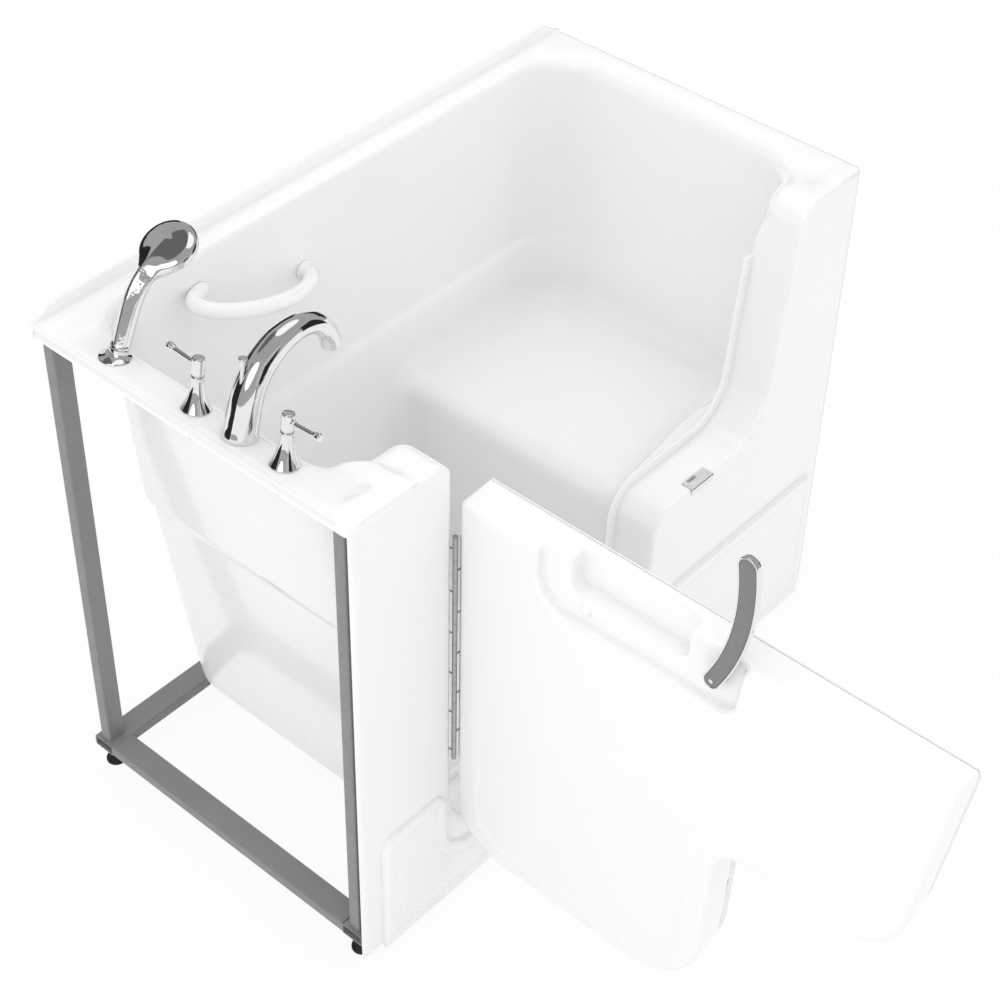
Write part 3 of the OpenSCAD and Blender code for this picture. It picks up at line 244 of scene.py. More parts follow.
def dress(obj, paint):
    obj.data.materials.clear()
    obj.data.materials.append(paints[paint].material)


for part in frame["record"]["subparts"]:
    dress(frame["nodes"][part["node"]], slotPaint[part["material_slot"]])
say("materials")


# Corner list to a smooth outline
def rounded(corners, radii, steps=10):
    out = []
    n = len(corners)
    for i in range(n):
        q = np.array(corners[i], float)
        if radii[i] <= 0:
            out.append(q)
            continue
        u = np.array(corners[i - 1], float) - q
        v = np.array(corners[(i + 1) % n], float) - q
        u /= np.linalg.norm(u)
        v /= np.linalg.norm(v)
        half = math.acos(max(-1, min(1, float(u @ v)))) / 2
        mid = (u + v) / np.linalg.norm(u + v)
        c = q + mid * radii[i] / math.sin(half)
        a = q + u * radii[i] / math.tan(half) - c
        b = q + v * radii[i] / math.tan(half) - c
        a0 = math.atan2(a[1], a[0])
        turn = (math.atan2(b[1], b[0]) - a0 + math.pi) % (2 * math.pi) - math.pi
        for k in range(steps + 1):
            t = a0 + turn * k / steps
            out.append(c + radii[i] * np.array([math.cos(t), math.sin(t)]))
    return np.array(out)


# Signed distance from a closed outline on a grid of u (columns) and v (rows), negative inside
def outlineField(outline, u, v):
    best = np.full((len(u), len(v)), 1e9, single)
    inside = np.zeros((len(u), len(v)), bool)
    gu, gv = np.asarray(u, single)[:, None], np.asarray(v, single)[None, :]
    for p, q in zip(outline, np.roll(outline, -1, 0)):
        d = q - p
        t = np.clip(((gu - p[0]) * d[0] + (gv - p[1]) * d[1]) / max(d @ d, 1e-9), 0, 1)
        best = np.minimum(best, (gu - p[0] - t * d[0]) ** 2 + (gv - p[1] - t * d[1]) ** 2)
        if p[1] != q[1]:
            crosses = ((p[1] > gv) != (q[1] > gv)) & (gu < (q[0] - p[0]) * (gv - p[1]) / (q[1] - p[1]) + p[0])
            inside ^= crosses
    return np.where(inside, -1, 1).astype(single) * np.sqrt(best)


# Intersection of two solids with an edge of radius r
def both(a, b, r):
    return np.minimum(-r, np.maximum(a, b)) + np.hypot(np.maximum(r + a, 0), np.maximum(r + b, 0))


def either(a, b, r):
    return -both(-a, -b, r)


def ease(v, low, high):
    t = np.clip((v - low) / (high - low), 0, 1)
    return t * t * (3 - 2 * t)


# A block of space sampled on a grid, whose field is turned into one smooth surface
class Mould:
    def __init__(self, low, high, step):
        self.step = step
        self.low = np.array(low, float) - 2 * step
        count = np.ceil((np.array(high, float) + 2 * step - self.low) / step).astype(int) + 1
        self.axes = [(self.low[i] + step * np.arange(count[i])).astype(single) for i in range(3)]

    @property
    def grid(self):
        x, y, z = self.axes
        return x[:, None, None], y[None, :, None], z[None, None, :]

    def surface(self, field, adapt):
        width = 3 * self.step
        near = np.clip(field, -width, width)
        grid = vdb.FloatGrid(width)
        grid.copyFromArray(np.ascontiguousarray(near))
        points, triangles, quads = grid.convertToPolygons(isovalue=0.0, adaptivity=adapt)
        self.field = field
        faces = [tuple(f) for f in triangles.tolist()] + [tuple(f) for f in quads.tolist()]
        return points.astype(float) * self.step + self.low, faces

    def sample(self, points):
        t = (points - self.low) / self.step
        i = np.clip(np.floor(t).astype(int), 0, np.array(self.field.shape) - 2)
        f = t - i
        total = 0
        for corner in np.ndindex(2, 2, 2):
            share = np.where(corner, f, 1 - f).prod(1)
            total = total + share * self.field[tuple((i + corner).T)]
        return total

    def normals(self, points):
        h = self.step * 0.75
        g = np.stack([self.sample(points + d) - self.sample(points - d) for d in np.eye(3) * h], -1)
        return g / np.maximum(np.linalg.norm(g, axis=1, keepdims=True), 1e-9)


# Cuts the mesh along planes, then drops the faces whose centres keep() turns down
def trimmed(points, faces, cuts, keep):
    mesh = bpy.data.meshes.new("trim")
    mesh.from_pydata(points.tolist(), [], faces)
    bm = bmesh.new()
    bm.from_mesh(mesh)
    bpy.data.meshes.remove(mesh)
    for at, normal in cuts:
        whole = bm.verts[:] + bm.edges[:] + bm.faces[:]
        bmesh.ops.bisect_plane(bm, geom=whole, dist=0.01, plane_co=at, plane_no=normal)
    bm.normal_update()
    centre = np.array([f.calc_center_median() for f in bm.faces])
    normal = np.array([f.normal for f in bm.faces])
    wanted = keep(centre, normal)
    bmesh.ops.delete(bm, geom=[f for f, w in zip(bm.faces, wanted) if not w], context="FACES")
    bm.verts.index_update()
    points = np.array([v.co for v in bm.verts])
    faces = [tuple(v.index for v in f.verts) for f in bm.faces]
    bm.free()
    return points, faces


# Gives an open skin a thickness, with a rim along its free edges
def shell(points, faces, normals, wall):
    n = len(points)
    inner = points - normals * wall
    edges = {}
    for f in faces:
        for a, b in zip(f, f[1:] + f[:1]):
            edges[(a, b)] = True
    free = [(a, b) for a, b in edges if (b, a) not in edges]
    allPoints = [points, inner]
    allNormals = [normals, -normals]
    out = list(faces) + [tuple(i + n for i in f[::-1]) for f in faces]
    base = 2 * n
    if free:
        a, b = np.array(free).T
        along = points[b] - points[a]
        side = np.cross(along, normals[a])
        side /= np.maximum(np.linalg.norm(side, axis=1, keepdims=True), 1e-9)
        rim = np.stack([points[b], points[a], inner[a], inner[b]], 1).reshape(-1, 3)
        allPoints.append(rim)
        allNormals.append(np.repeat(side, 4, 0))
        out += [tuple(range(k, k + 4)) for k in range(base, base + 4 * len(free), 4)]
    return np.concatenate(allPoints), out, np.concatenate(allNormals)


def makeObject(name, points, faces, paint, normals=None, place=row, sharp=None):
    mesh = bpy.data.meshes.new(name)
    mesh.from_pydata(place(points).tolist() if place else np.asarray(points).tolist(), [], faces)
    mesh.update()
    mesh.shade_smooth()
    if normals is not None:
        mesh.normals_split_custom_set_from_vertices(normals.tolist())
    if sharp:
        mesh.set_sharp_from_angle(angle=math.radians(sharp))
    obj = bpy.data.objects.new(name, mesh)
    scene.collection.objects.link(obj)
    mesh.materials.append(paints[paint].material)
    return obj


def mount(obj, body, node, slot):
    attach(obj, body)
    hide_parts(node)


hinge = {"x": 233.0, "y": -3.5}
door = {
    "x": 237.8, "w": 917.0, "leg": 533.0, "low": 158.0, "step": 571.0, "top": 978.0, "t": 77.0,
    "lean": 15.0, "head": 45.0, "r": (12, 112, 150, 58, 108, 12), "stop": 22.0, "gap": 5.0,
    "draft": 7.0, "liner": 4.0, "wall": 4.5,
}
way = {
    "x": 228.2, "right": 1169.4, "leftR": 38.0, "rightR": 52.0, "footR": 9.6, "ease": 30.0,
    "leftRun": 76.0, "rightRun": 104.0, "above": 60.0, "deep": 130.0, "mergeR": (4, 40),
}


# Door outline grown by g, or by h at the hinge side and the top
def doorLine(g, h=None, steps=10):
    d = door
    h = g if h is None else h
    x, w = d["x"], d["w"]
    pts = [(x - h, d["top"] + h), (x - h, d["low"] - g), (x + d["leg"] + g, d["low"] - g),
           (x + d["leg"] + d["lean"] + g, d["step"] - g), (x + w - d["head"] + g, d["step"] - g),
           (x + w + g, d["top"] + h)]
    radii = [d["r"][i] - g if i == 3 else max(d["r"][i] + g, 2) for i in range(6)]
    return rounded(pts, radii, steps)


def wayLine(g, steps=10):
    d, r = door, door["r"]
    e = d["gap"] + g
    top = tub["deck"]
    left, right = way["x"] - g, way["right"] + g
    start, end, above = way["x"] - way["leftRun"], way["right"] + way["rightRun"], top + way["above"]
    pts = [(start, above), (start, top - g), (left, top - g), (left, d["low"] - e),
           (d["x"] + d["leg"] + e, d["low"] - e), (d["x"] + d["leg"] + d["lean"] + e, d["step"] - e),
           (d["x"] + d["w"] - d["head"] + e, d["step"] - e), (right, top - g), (end, top - g), (end, above)]
    radii = [0, 0, way["leftR"] - g, r[1] + way["footR"] + g, r[2] + e - way["ease"], r[3] - e, r[4] + e,
             way["rightR"] - g, 0, 0]
    return rounded(pts, radii, steps)


basin = {
    "floor": 121.0, "seat": 520.0, "front": 97.4, "floorR": 50.0, "seatR": 40.0, "footR": 44.0, "armR": 26.0,
    "cornerR": (70.0, 92.0), "backR": 95.0, "riser": (815.0, 7.0), "seatRise": 0.006, "arm": (608.0, 1.3),
    "left": ((121, 204), (650, 139), (660, 131), (1065, 84)),
    "wall": ((121, 660), (650, 681), (660, 690), (1065, 692)),
    "back": ((121, 1262), (520, 1262), (1000, 1290), (1065, 1292)),
}
shelf = {
    "x": 12.0, "z": 1065.0, "tilt": 9.0, "in": 36.0, "end": (90, 110), "side": (40, 70), "wall": (646, 676),
    "hot": 184.0, "spout": 284.0, "cold": 384.0, "shower": 577.0,
}
deck = {
    "cornerR": 10.0, "bottomR": 12.0, "topR": 6.0, "bead": 2.2, "beadX": 11.0, "beadW": 4.5, "wall": 5.5,
    "edgeR": 8.0, "insideR": 4.0, "faucetR": 6.0, "seatR": 20.0, "jambR": 4.5,    # edgeR and what changes it
    "lip": 18.0, "holeR": 15.0, "drainR": 24.0,
}
fittings = [(47.6, shelf[key]) for key in ("hot", "spout", "cold", "shower")]
drain = (300.0, 375.0)
bolt = {
    "x": 920.0, "y": 20.0, "w": 20.0, "t": 4.0, "shellPlay": 3.0, "strikePlay": 1.2, "doorHole": (11.0, 3.0),
}


def bend(table, z):
    return np.interp(z, [p[0] for p in table], [p[1] for p in table]).astype(single)


def basinField(x, y, z):
    zs = z[0, 0, :]
    left, wall, back = (bend(basin[k], zs)[None, None, :] for k in ("left", "wall", "back"))
    low, high = basin["cornerR"]
    r = np.where(x < 700, low + (high - low) * ease(z, 640, 1000), basin["backR"]).astype(single)
    qx = np.maximum(left + r - x, x - back + r)
    qy = np.maximum(basin["front"] + r - y, y - wall + r)
    prism = np.minimum(np.maximum(qx, qy), 0) + np.hypot(np.maximum(qx, 0), np.maximum(qy, 0)) - r
    cavity = both(prism, basin["floor"] - z, single(basin["floorR"]))
    at, lean = basin["riser"]
    riser = at + lean * np.clip((z - basin["floor"]) / 359, 0, 1)
    seat = both(riser - x, z - basin["seat"] - (x - 862) * basin["seatRise"], single(basin["seatR"]))
    cavity = both(cavity, -seat, single(basin["footR"]))
    high, slope = basin["arm"]
    lean = (0.25 + 0.75 * np.clip((x - 822) / 349, 0, 1)) * ease(x, 790, 835)
    arm = (basin["front"] + slope * (high - z) * lean - y) * 0.65
    return both(cavity, arm.astype(single), single(basin["armR"]))


def shellField(mould):
    x, y, z = mould.grid
    r = single(deck["cornerR"])
    side = both(both(-x, x - tub["l"], r), both(-y, y - tub["w"], r), single(deck["bottomR"]))
    slope = np.where(x > shelf["x"], -(x - shelf["x"]) * math.tan(math.radians(shelf["tilt"])), 0)
    low, high = shelf["wall"]
    near, far = shelf["end"]
    slope = slope * ease(y, *shelf["side"]) * ease(-y, -high, -low) * ease(-x, -far, -near)
    bead = -deck["bead"] * np.exp(-((x - deck["beadX"]) / deck["beadW"]) ** 2)
    top = z - tub["deck"] - (slope + bead).astype(single)
    block = both(side, top, single(deck["topR"]))
    cavity = basinField(x, y, z)
    flat = outlineField(wayLine(0), mould.axes[0], mould.axes[2])[:, None, :]
    passage = np.maximum(flat, y - way["deep"])
    low, high = way["mergeR"]    # sharper at the sill than at the deck
    cavity = either(cavity, passage, (low + (high - low) * ease(z, 940, 1010)).astype(single))
    inside = deck["insideR"] + deck["faucetR"] * ease(-x, -200, -130) + deck["seatR"] * ease(x, 1180, 1290)
    edge = deck["edgeR"] + inside * ease(y, 20, 60)
    edge = edge - deck["jambR"] * ease(-np.abs(x - way["x"]), -60, -25) * ease(-y, -30, -14)
    edge = np.maximum(edge, 1).astype(single)
    field = both(block, -cavity, edge)
    hole = np.maximum(np.hypot(x - drain[0], y - drain[1]) - deck["drainR"], basin["floor"] - 8 - z)
    field = np.maximum(field, -np.maximum(hole, z - 200))
    wide, deep, play = bolt["w"] / 2, bolt["t"] / 2, bolt["shellPlay"]
    slot = np.maximum(np.abs(x - bolt["x"]) - wide - play, np.abs(y - bolt["y"]) - deep - play)
    field = np.maximum(field, -np.maximum(slot, np.abs(z - 560) - 16))
    for fx, fy in fittings:
        field = np.maximum(field, -np.maximum(np.hypot(x - fx, y - fy) - deck["holeR"], 1048 - z))
    return np.maximum(field, 14 - z).astype(single)


def makeShell():
    step = 4.0
    mould = Mould((0, 0, 14), (tub["l"], tub["w"], tub["deck"]), step)
    field = shellField(mould)
    points, faces = mould.surface(field, 0.012)
    print("shell", len(points), len(faces))
    lipZ = tub["deck"] - deck["lip"]
    cuts = [((0, 0, lipZ), (0, 0, 1)), ((0, 6, 0), (0, 1, 0))]

    def keep(c, n):
        low = c[:, 2] < lipZ
        outer = ((c[:, 0] < 13) | (c[:, 0] > tub["l"] - 13) | (c[:, 1] > tub["w"] - 13)) & low & (c[:, 1] > 6)
        bottom = (c[:, 2] < 19) & ((n[:, 2] < -0.2) | (c[:, 1] > 6))
        nearDrain = np.hypot(c[:, 0] - drain[0], c[:, 1] - drain[1]) < deck["drainR"] - 1
        hole = nearDrain & (c[:, 2] < basin["floor"] - 6)
        for fx, fy in fittings:
            hole |= (np.hypot(c[:, 0] - fx, c[:, 1] - fy) < deck["holeR"] - 1) & (c[:, 2] < 1050)
        return ~(outer | bottom | hole)

    points, faces = trimmed(points, faces, cuts, keep)
    normals = mould.normals(points)
    points, faces, normals = shell(points, faces, normals, deck["wall"])
    obj = makeObject("shell", points, faces, "gelcoat", normals)
    mount(obj, "tub", "tub_shell", "white_gelcoat")


makeShell()
say("shell")


# Smooth curve through the points, with about the given number of steps in all
def spline(points, steps):
    p = np.asarray(points, float)
    p = np.vstack([2 * p[0] - p[1], p, 2 * p[-1] - p[-2]])
    out = []
    per = max(2, int(round(steps / (len(p) - 3))))
    for i in range(1, len(p) - 2):
        for k in range(per):
            t = k / per
            a, b, c, d = p[i - 1], p[i], p[i + 1], p[i + 2]
            square, cube = 2 * a - 5 * b + 4 * c - d, 3 * b - a - 3 * c + d
            out.append(0.5 * (2 * b + (c - a) * t + square * t * t + cube * t ** 3))
    out.append(p[-2])
    return np.array(out)


# Values of a table of (share, value, value...) at n even shares
def atSteps(table, n):
    table = np.array(table, float)
    t = np.linspace(0, 1, n)
    return np.stack([np.interp(t, table[:, 0], table[:, k]) for k in range(1, table.shape[1])], 1)


# Faces over closed rings of n points, with a fan at each end round the two points that follow
def ringFaces(rings, n):
    pairs = [(i, (i + 1) % n) for i in range(n)]
    faces = [(k + i, k + j, k + n + j, k + n + i) for k in range(0, (rings - 1) * n, n) for i, j in pairs]
    last = (rings - 1) * n
    for i, j in pairs:
        faces += [(rings * n, j, i), (rings * n + 1, last + i, last + j)]
    return faces


# Turns a list of (radius, height) about +Z. A radius of 0 closes the shape
def turned(profile, n=64):
    points, faces, rows = [], [], []
    a = np.linspace(0, 2 * math.pi, n, endpoint=False)
    for r, z in profile:
        if r == 0:
            rows.append([len(points)] * n)
            points.append((0, 0, z))
        else:
            rows.append(list(range(len(points), len(points) + n)))
            points += [(r * math.cos(t), r * math.sin(t), z) for t in a]
    for low, high in zip(rows, rows[1:]):
        for i in range(n):
            j = (i + 1) % n
            quad = (low[i], low[j], high[j], high[i])
            quad = tuple(dict.fromkeys(quad))
            if len(quad) > 2:
                faces.append(quad)
    return np.array(points, float), faces


# Open profile of (radius, height) corners with rounded turns
def softProfile(corners, radii):
    corners = [np.array(c, float) for c in corners]
    out = [corners[0]]
    for i in range(1, len(corners) - 1):
        q, r = corners[i], radii[i]
        if r <= 0:
            out.append(q)
            continue
        u, v = corners[i - 1] - q, corners[i + 1] - q
        cut = min(r, np.linalg.norm(u) * 0.48, np.linalg.norm(v) * 0.48)
        u, v = u / np.linalg.norm(u), v / np.linalg.norm(v)
        for t in np.linspace(0, 1, 6):
            out.append((1 - t) ** 2 * (q + u * cut) + 2 * t * (1 - t) * q + t * t * (q + v * cut))
    out.append(corners[-1])
    return [(max(0.0, float(c[0])), float(c[1])) for c in out]


def joined(*shapes):
    points, faces, base = [], [], 0
    for p, f in shapes:
        points.append(p)
        faces += [tuple(i + base for i in face) for face in f]
        base += len(p)
    return np.concatenate(points), faces


# Turns the faces round where the closed skin encloses a negative volume
def outward(points, faces):
    total = 0.0
    for f in faces:
        a = points[f[0]]
        for b, c in zip(f[1:], f[2:]):
            total += float(np.dot(a, np.cross(points[b], points[c])))
    return points, faces if total > 0 else [f[::-1] for f in faces]


def onShelf(points, y):
    p = np.asarray(points, float)
    x, z = tilted(p[:, 0] + shelf["in"], p[:, 2], math.radians(shelf["tilt"]))
    return np.stack([shelf["x"] + x, y + p[:, 1], shelf["z"] + z], 1)


def seat(name, body, shape, y, paint, node, slot):
    points, faces = shape
    obj = makeObject(name, onShelf(points, y), faces, paint)
    mount(obj, body, node, slot)
    return obj


spout = {
    "midline": [(0, 0.3), (4, 30), (13, 78), (31, 113), (60, 140), (81, 151), (102, 157), (120, 158),
                (143, 154), (163, 143), (178, 127), (188, 109), (192, 98)],
    "half": [(0, 30.5, 30), (0.05, 29, 28), (0.25, 25.5, 25), (0.45, 22, 21.5), (0.65, 19.8, 18.6),
             (0.85, 18.6, 17.6), (0.95, 18.4, 17.2), (1, 18.0, 16.8)],
    "aerator": 12.5, "tipDeep": 8.0,
}


def makeSpout():
    mid = [(x, 0, z) for x, z in spout["midline"]]
    path = spline(mid, 90)
    half = atSteps(spout["half"], len(path))
    end = path[-1] - path[-2]
    end /= np.linalg.norm(end)
    rounding = [(1.2, 0.7), (1.9, 1.9), (1.9, 3.4)]
    extra = [path[-1] + end * a for a, _ in rounding] + [path[-1] + end * 1.9 - end * spout["tipDeep"]]
    halves = [half[-1] - b for _, b in rounding] + [half[-1] - 3.6]
    path = np.vstack([path, extra])
    half = np.vstack([half, halves])
    points, faces = sweepKnown(path, half, 56)
    seat("spout", "tub", (points, faces), shelf["spout"], "chrome", "spout", "chrome")
    r = spout["aerator"]
    profile = [(0, -2), (r, -2), (r, 3.6), (r - 1, 4.6), (r - 2.2, 4.6), (r - 2.8, 3.2)]
    profile += [(q, 3.2 - 0.7 * (k % 2)) for k, q in enumerate(np.linspace(r - 3.4, 1.2, 9))] + [(0, 3.0)]
    points, faces = turned(profile, 40)
    across = np.array((end[2], 0, -end[0]))
    tip = path[-1]
    points = tip + points[:, :1] * across + points[:, 1:2] * np.array((0, 1, 0)) + points[:, 2:] * end
    seat("aerator", "tub", outward(points, faces), shelf["spout"], "steel", "aerator", "chrome")


# Sweep whose last rings turn back on themselves, so their directions come from the ring before
def sweepKnown(path, half, n):
    m = len(path) - 4
    tangent = np.gradient(path[:m], axis=0)
    tangent[0] = (0, 0, 1)
    tangent = np.vstack([tangent, np.repeat(tangent[-1:], 4, 0)])
    tangent /= np.linalg.norm(tangent, axis=1, keepdims=True)
    a = np.linspace(0, 2 * math.pi, n, endpoint=False)
    points = []
    for c, d, h in zip(path, tangent, half):
        u = np.cross(d, (0, 1, 0))
        points.append(c + h[0] * np.cos(a)[:, None] * np.array((0, 1, 0)) + h[1] * np.sin(a)[:, None] * u)
    points = np.vstack([np.concatenate(points), path[0], path[-1]])
    return points, ringFaces(len(path), n)


knob = {"x": -4.0, "low": 96.0, "high": 145.0, "stem": 3.0, "cup": 8.0}


def makeKnob():
    k = knob
    z = k["high"]
    profile = softProfile([(0, k["low"]), (k["stem"], k["low"]), (k["stem"], z - 25), (4.4, z - 22),
                           (3.6, z - 16), (k["cup"] * 0.72, z - 5), (k["cup"], z - 2.5),
                           (k["cup"] * 0.94, z), (0, z + 0.6)],
                          [0, 0, 3, 2, 6, 3, 1, 1.5, 0])
    points, faces = turned(profile, 40)
    points[:, 0] += k["x"]
    seat("diverterKnob", "diverter", (points, faces), shelf["spout"], "chrome", "diverter_knob", "chrome")


makeSpout()
makeKnob()

tap = {
    "base": 25.5, "neck": 10.0, "bell": 63.0, "cap": 11.2, "top": 95.5,
    "lever": 81.0, "reach": 69.0, "rod": 3.9,
}


def bellShape():
    base, neck, z = tap["base"], tap["neck"], tap["bell"]
    shares = np.linspace(0, 1, 22)
    flare = [(neck + 0.4 + (base - neck - 1.2) * (1 - k) ** 2.1, 3 + (z - 9) * k) for k in shares]
    profile = [(0, 0.3), (base - 0.6, 0.3), (base, 0.9), (base - 0.1, 2.2), (base - 0.7, 2.8)] + flare
    profile += [(neck + 0.9, z - 5), (neck + 1.2, z - 3.6), (neck + 1.0, z - 1.0), (neck + 0.2, z - 0.4)]
    profile += [(0, z - 0.4)]
    return turned(profile, 72)


def leverShape(side):
    c, z, top = tap["cap"], tap["bell"], tap["top"]
    cap = turned(softProfile([(0, z), (c - 1.6, z), (c - 1.6, z + 2.4), (c, z + 3.2), (c - 0.3, top - 2),
                              (c - 2, top - 0.2), (0, top + 0.7)], [0, 0.6, 0.6, 0.8, 1.6, 2, 0]), 56)
    r, l = tap["rod"], tap["reach"]
    rod = turned(softProfile([(0, 6), (r + 2.2, 8), (r + 1.4, 12.5), (r, 16), (r + 0.4, l - 17),
                              (r + 1.5, l - 13), (r + 2.6, l - 10), (r + 1.6, l - 8.4), (r + 2.8, l - 7),
                              (r + 3.3, l - 2.4), (r + 2.4, l), (0, l + 0.6)],
                             [0, 1, 3, 4, 6, 3, 1.2, 0.8, 1, 2, 1.2, 0]), 36)
    p, faces = rod
    p = np.stack([p[:, 0], side * p[:, 2], tap["lever"] - side * p[:, 1] + 0.05 * p[:, 2]], 1)
    return joined(cap, (p, faces))


for name, side in (("hot", -1), ("cold", 1)):
    seat(name + "Bell", "tub", bellShape(), shelf[name], "chrome", name + "_bell", "chrome")
    seat(name + "Handle", name + "_tap", leverShape(side), shelf[name], "chrome", name + "_handle", "chrome")

say("taps")

# Closed skin over rows of points, each row one closed section
def ribbon(rings):
    rings = [np.asarray(q, float) for q in rings]
    points = np.vstack([np.concatenate(rings), rings[0].mean(0), rings[-1].mean(0)])
    return points, ringFaces(len(rings), len(rings[0]))


stop = {"top": 950.0, "y0": 92.4, "y1": 98.5, "round": 2.2, "root": 3.0}


def makeStop():
    outer, inner = wayLine(stop["root"], 14), wayLine(-door["stop"], 14)
    rows = []
    for i in range(1, len(outer) - 1):
        steps = max(1, int(np.linalg.norm(outer[i + 1] - outer[i]) / 30)) if i + 1 < len(outer) else 1
        for k in range(steps):
            t = k / steps
            rows.append((outer[i] * (1 - t) + outer[i + 1] * t, inner[i] * (1 - t) + inner[i + 1] * t))
    rows = [q for q in rows if max(q[0][1], q[1][1]) < stop["top"]]
    rings = []
    for a, b in rows:
        u = (b - a) / np.linalg.norm(b - a)
        w, y0, y1, c = np.linalg.norm(b - a), stop["y0"], stop["y1"], stop["round"]
        section = [(0, y0), (w - c, y0), (w - 0.3 * c, y0 + 0.3 * c), (w, y0 + c),
                   (w, y1 - c), (w - 0.3 * c, y1 - 0.3 * c), (w - c, y1), (0, y1)]
        rings.append([(a[0] + u[0] * m, y, a[1] + u[1] * m) for m, y in section])
    return ribbon(rings)


upstand = {"y0": 731.2, "y1": 736.8, "high": 28.0, "run": 60.0, "root": 8.0}


def makeUpstand():
    q = upstand
    rings = []
    run, far = q["run"], tub["l"] - q["run"]
    spans = ((0.5, run, 8), (run + 30, far - 30, 30), (far, tub["l"] - 0.5, 8))
    for x in np.concatenate([np.linspace(*span) for span in spans]):
        edge = min(x, tub["l"] - x)
        high = tub["deck"] + 1 + (q["high"] - 1) * float(ease(np.array(edge), -8, q["run"]))
        low = tub["deck"] - 6
        foot = min(q["root"], (high - tub["deck"]) * 0.8)
        a, b, z = q["y0"], q["y1"], tub["deck"]
        section = [(b, low), (b, high - 1.5), (b - 0.5, high - 0.4), (b - 1.6, high),
                   (a + 1.6, high), (a + 0.5, high - 0.4), (a, high - 1.5)]
        turns = np.linspace(0, math.pi / 2, 6)
        section += [(a - foot * (1 - math.cos(t)), z + foot * (1 - math.sin(t))) for t in turns]
        section += [(a - foot, low)]
        rings.append([(x, y, zz) for y, zz in section])
    return ribbon(rings)


for name, build in (("stopLip", makeStop), ("upstand", makeUpstand)):
    points, faces = outward(*build())
    mount(makeObject(name, points, faces, "gelcoat", sharp=50), "tub", "tub_shell", "white_gelcoat")
say("stop and upstand")


# From the door's closed place to its place at rest, a quarter turn open about the hinge pin
def opened(points):
    p = np.asarray(points, float)
    return row(np.stack([hinge["x"] + p[:, 1] - hinge["y"], hinge["y"] - p[:, 0] + hinge["x"], p[:, 2]], 1))


def turnedOpen(n):
    return np.stack([n[:, 1], -n[:, 0], n[:, 2]], 1)


recess = {
    "x0": 161.0, "x1": 560.0, "low": 868.0, "deep": 18.0, "r": 62.0, "farR": 31.0, "floor": 9.0, "edge": 7.0,
    "pocket": (215.0, 443.0, 908.0), "pocketDeep": 52.0, "pocketR": 26.0, "pocketFloor": 10.0,
    "pocketEdge": 5.0,
}
pivot = {"s": 503.0, "z": 928.0, "hole": 10.0, "deep": 40.0}
lever = {
    "l": 255.0, "w": 36.0, "t": 12.0, "sag": 20.0, "tilt": 8.4, "dip": 8.6, "y": -4.0, "frontR": 1.6,
    "backR": 3.0, "rim": 3.2, "grooveDeep": 1.9, "inlayRim": 3.4, "inlayDeep": 1.85, "inlaySunk": 0.9,
    "crown": 0.5,
}
nub = {"r": 9.0, "footR": 1.5}
border = {"in": 48.0, "deep": 2.4, "half": 5.5, "fade": (300, 640, 860), "step": (470, 600)}
edgeR = {"hinge": 8.0, "far": 14.0, "run": (10, 70), "back": 0.5}    # radii along the door's edge


def doorField(mould):
    x, y, z = mould.grid
    u, v = mould.axes[0], mould.axes[2]
    flat = outlineField(doorLine(0), u, v)[:, None, :]
    back = outlineField(doorLine(-door["draft"], 0), u, v)[:, None, :]
    side = flat + (back - flat) * np.clip(y / door["t"], 0, 1)
    low, middle, high = border["fade"]
    blend = ease(x, *(door["x"] + at for at in border["step"]))
    fade = (1 - ease(z, low, middle)) * (1 - blend) + (1 - ease(z, middle, high)) * blend
    sunk = border["deep"] * fade * ease(-flat, border["in"] - border["half"], border["in"] + border["half"])
    edge = edgeR["hinge"] + (edgeR["far"] - edgeR["hinge"]) * ease(x, *(door["x"] + at for at in edgeR["run"]))
    body = both(side, (sunk - y).astype(single), edge.astype(single))
    body = both(body, y - (door["t"] - door["liner"] - 0.3), single(edgeR["back"]))
    top = door["top"] + recess["r"]
    dx = door["x"]
    lean = recess["r"] / 9
    line = rounded([(dx + recess["x0"], top), (dx + recess["x0"], recess["low"] - lean),
                    (dx + recess["x1"] - recess["deep"], recess["low"] + lean), (dx + recess["x1"], top)],
                   [0, recess["r"], recess["farR"], 0])
    hollow = both(outlineField(line, u, v)[:, None, :], y - recess["deep"], single(recess["floor"]))
    body = both(body, -hollow, single(recess["edge"]))
    a, b, low = recess["pocket"]
    line = rounded([(dx + a, top), (dx + a, low), (dx + b, low), (dx + b, top)],
                   [0, recess["pocketR"], recess["pocketR"], 0])
    pocket = both(outlineField(line, u, v)[:, None, :], y - recess["pocketDeep"], single(recess["pocketFloor"]))
    body = both(body, -pocket, single(recess["pocketEdge"]))
    nx = dx + pivot["s"] - lever["l"] * math.cos(math.radians(lever["dip"]))
    nz = pivot["z"] - lever["l"] * math.sin(math.radians(lever["dip"]))
    ball = np.sqrt((x - nx) ** 2 + (y - recess["deep"]) ** 2 + (z - nz) ** 2) - nub["r"]
    body = either(body, ball.astype(single), single(nub["footR"]))
    hole = np.maximum(np.hypot(x - dx - pivot["s"], z - pivot["z"]) - pivot["hole"], y - pivot["deep"])
    body = np.maximum(body, -hole)
    wide, deep = bolt["doorHole"]
    slot = np.maximum(np.abs(x - bolt["x"]) - wide, np.abs(y - bolt["y"]) - deep)
    slot = np.maximum(slot, np.abs(z - door["step"]) - 14)
    return np.maximum(body, -slot).astype(single)


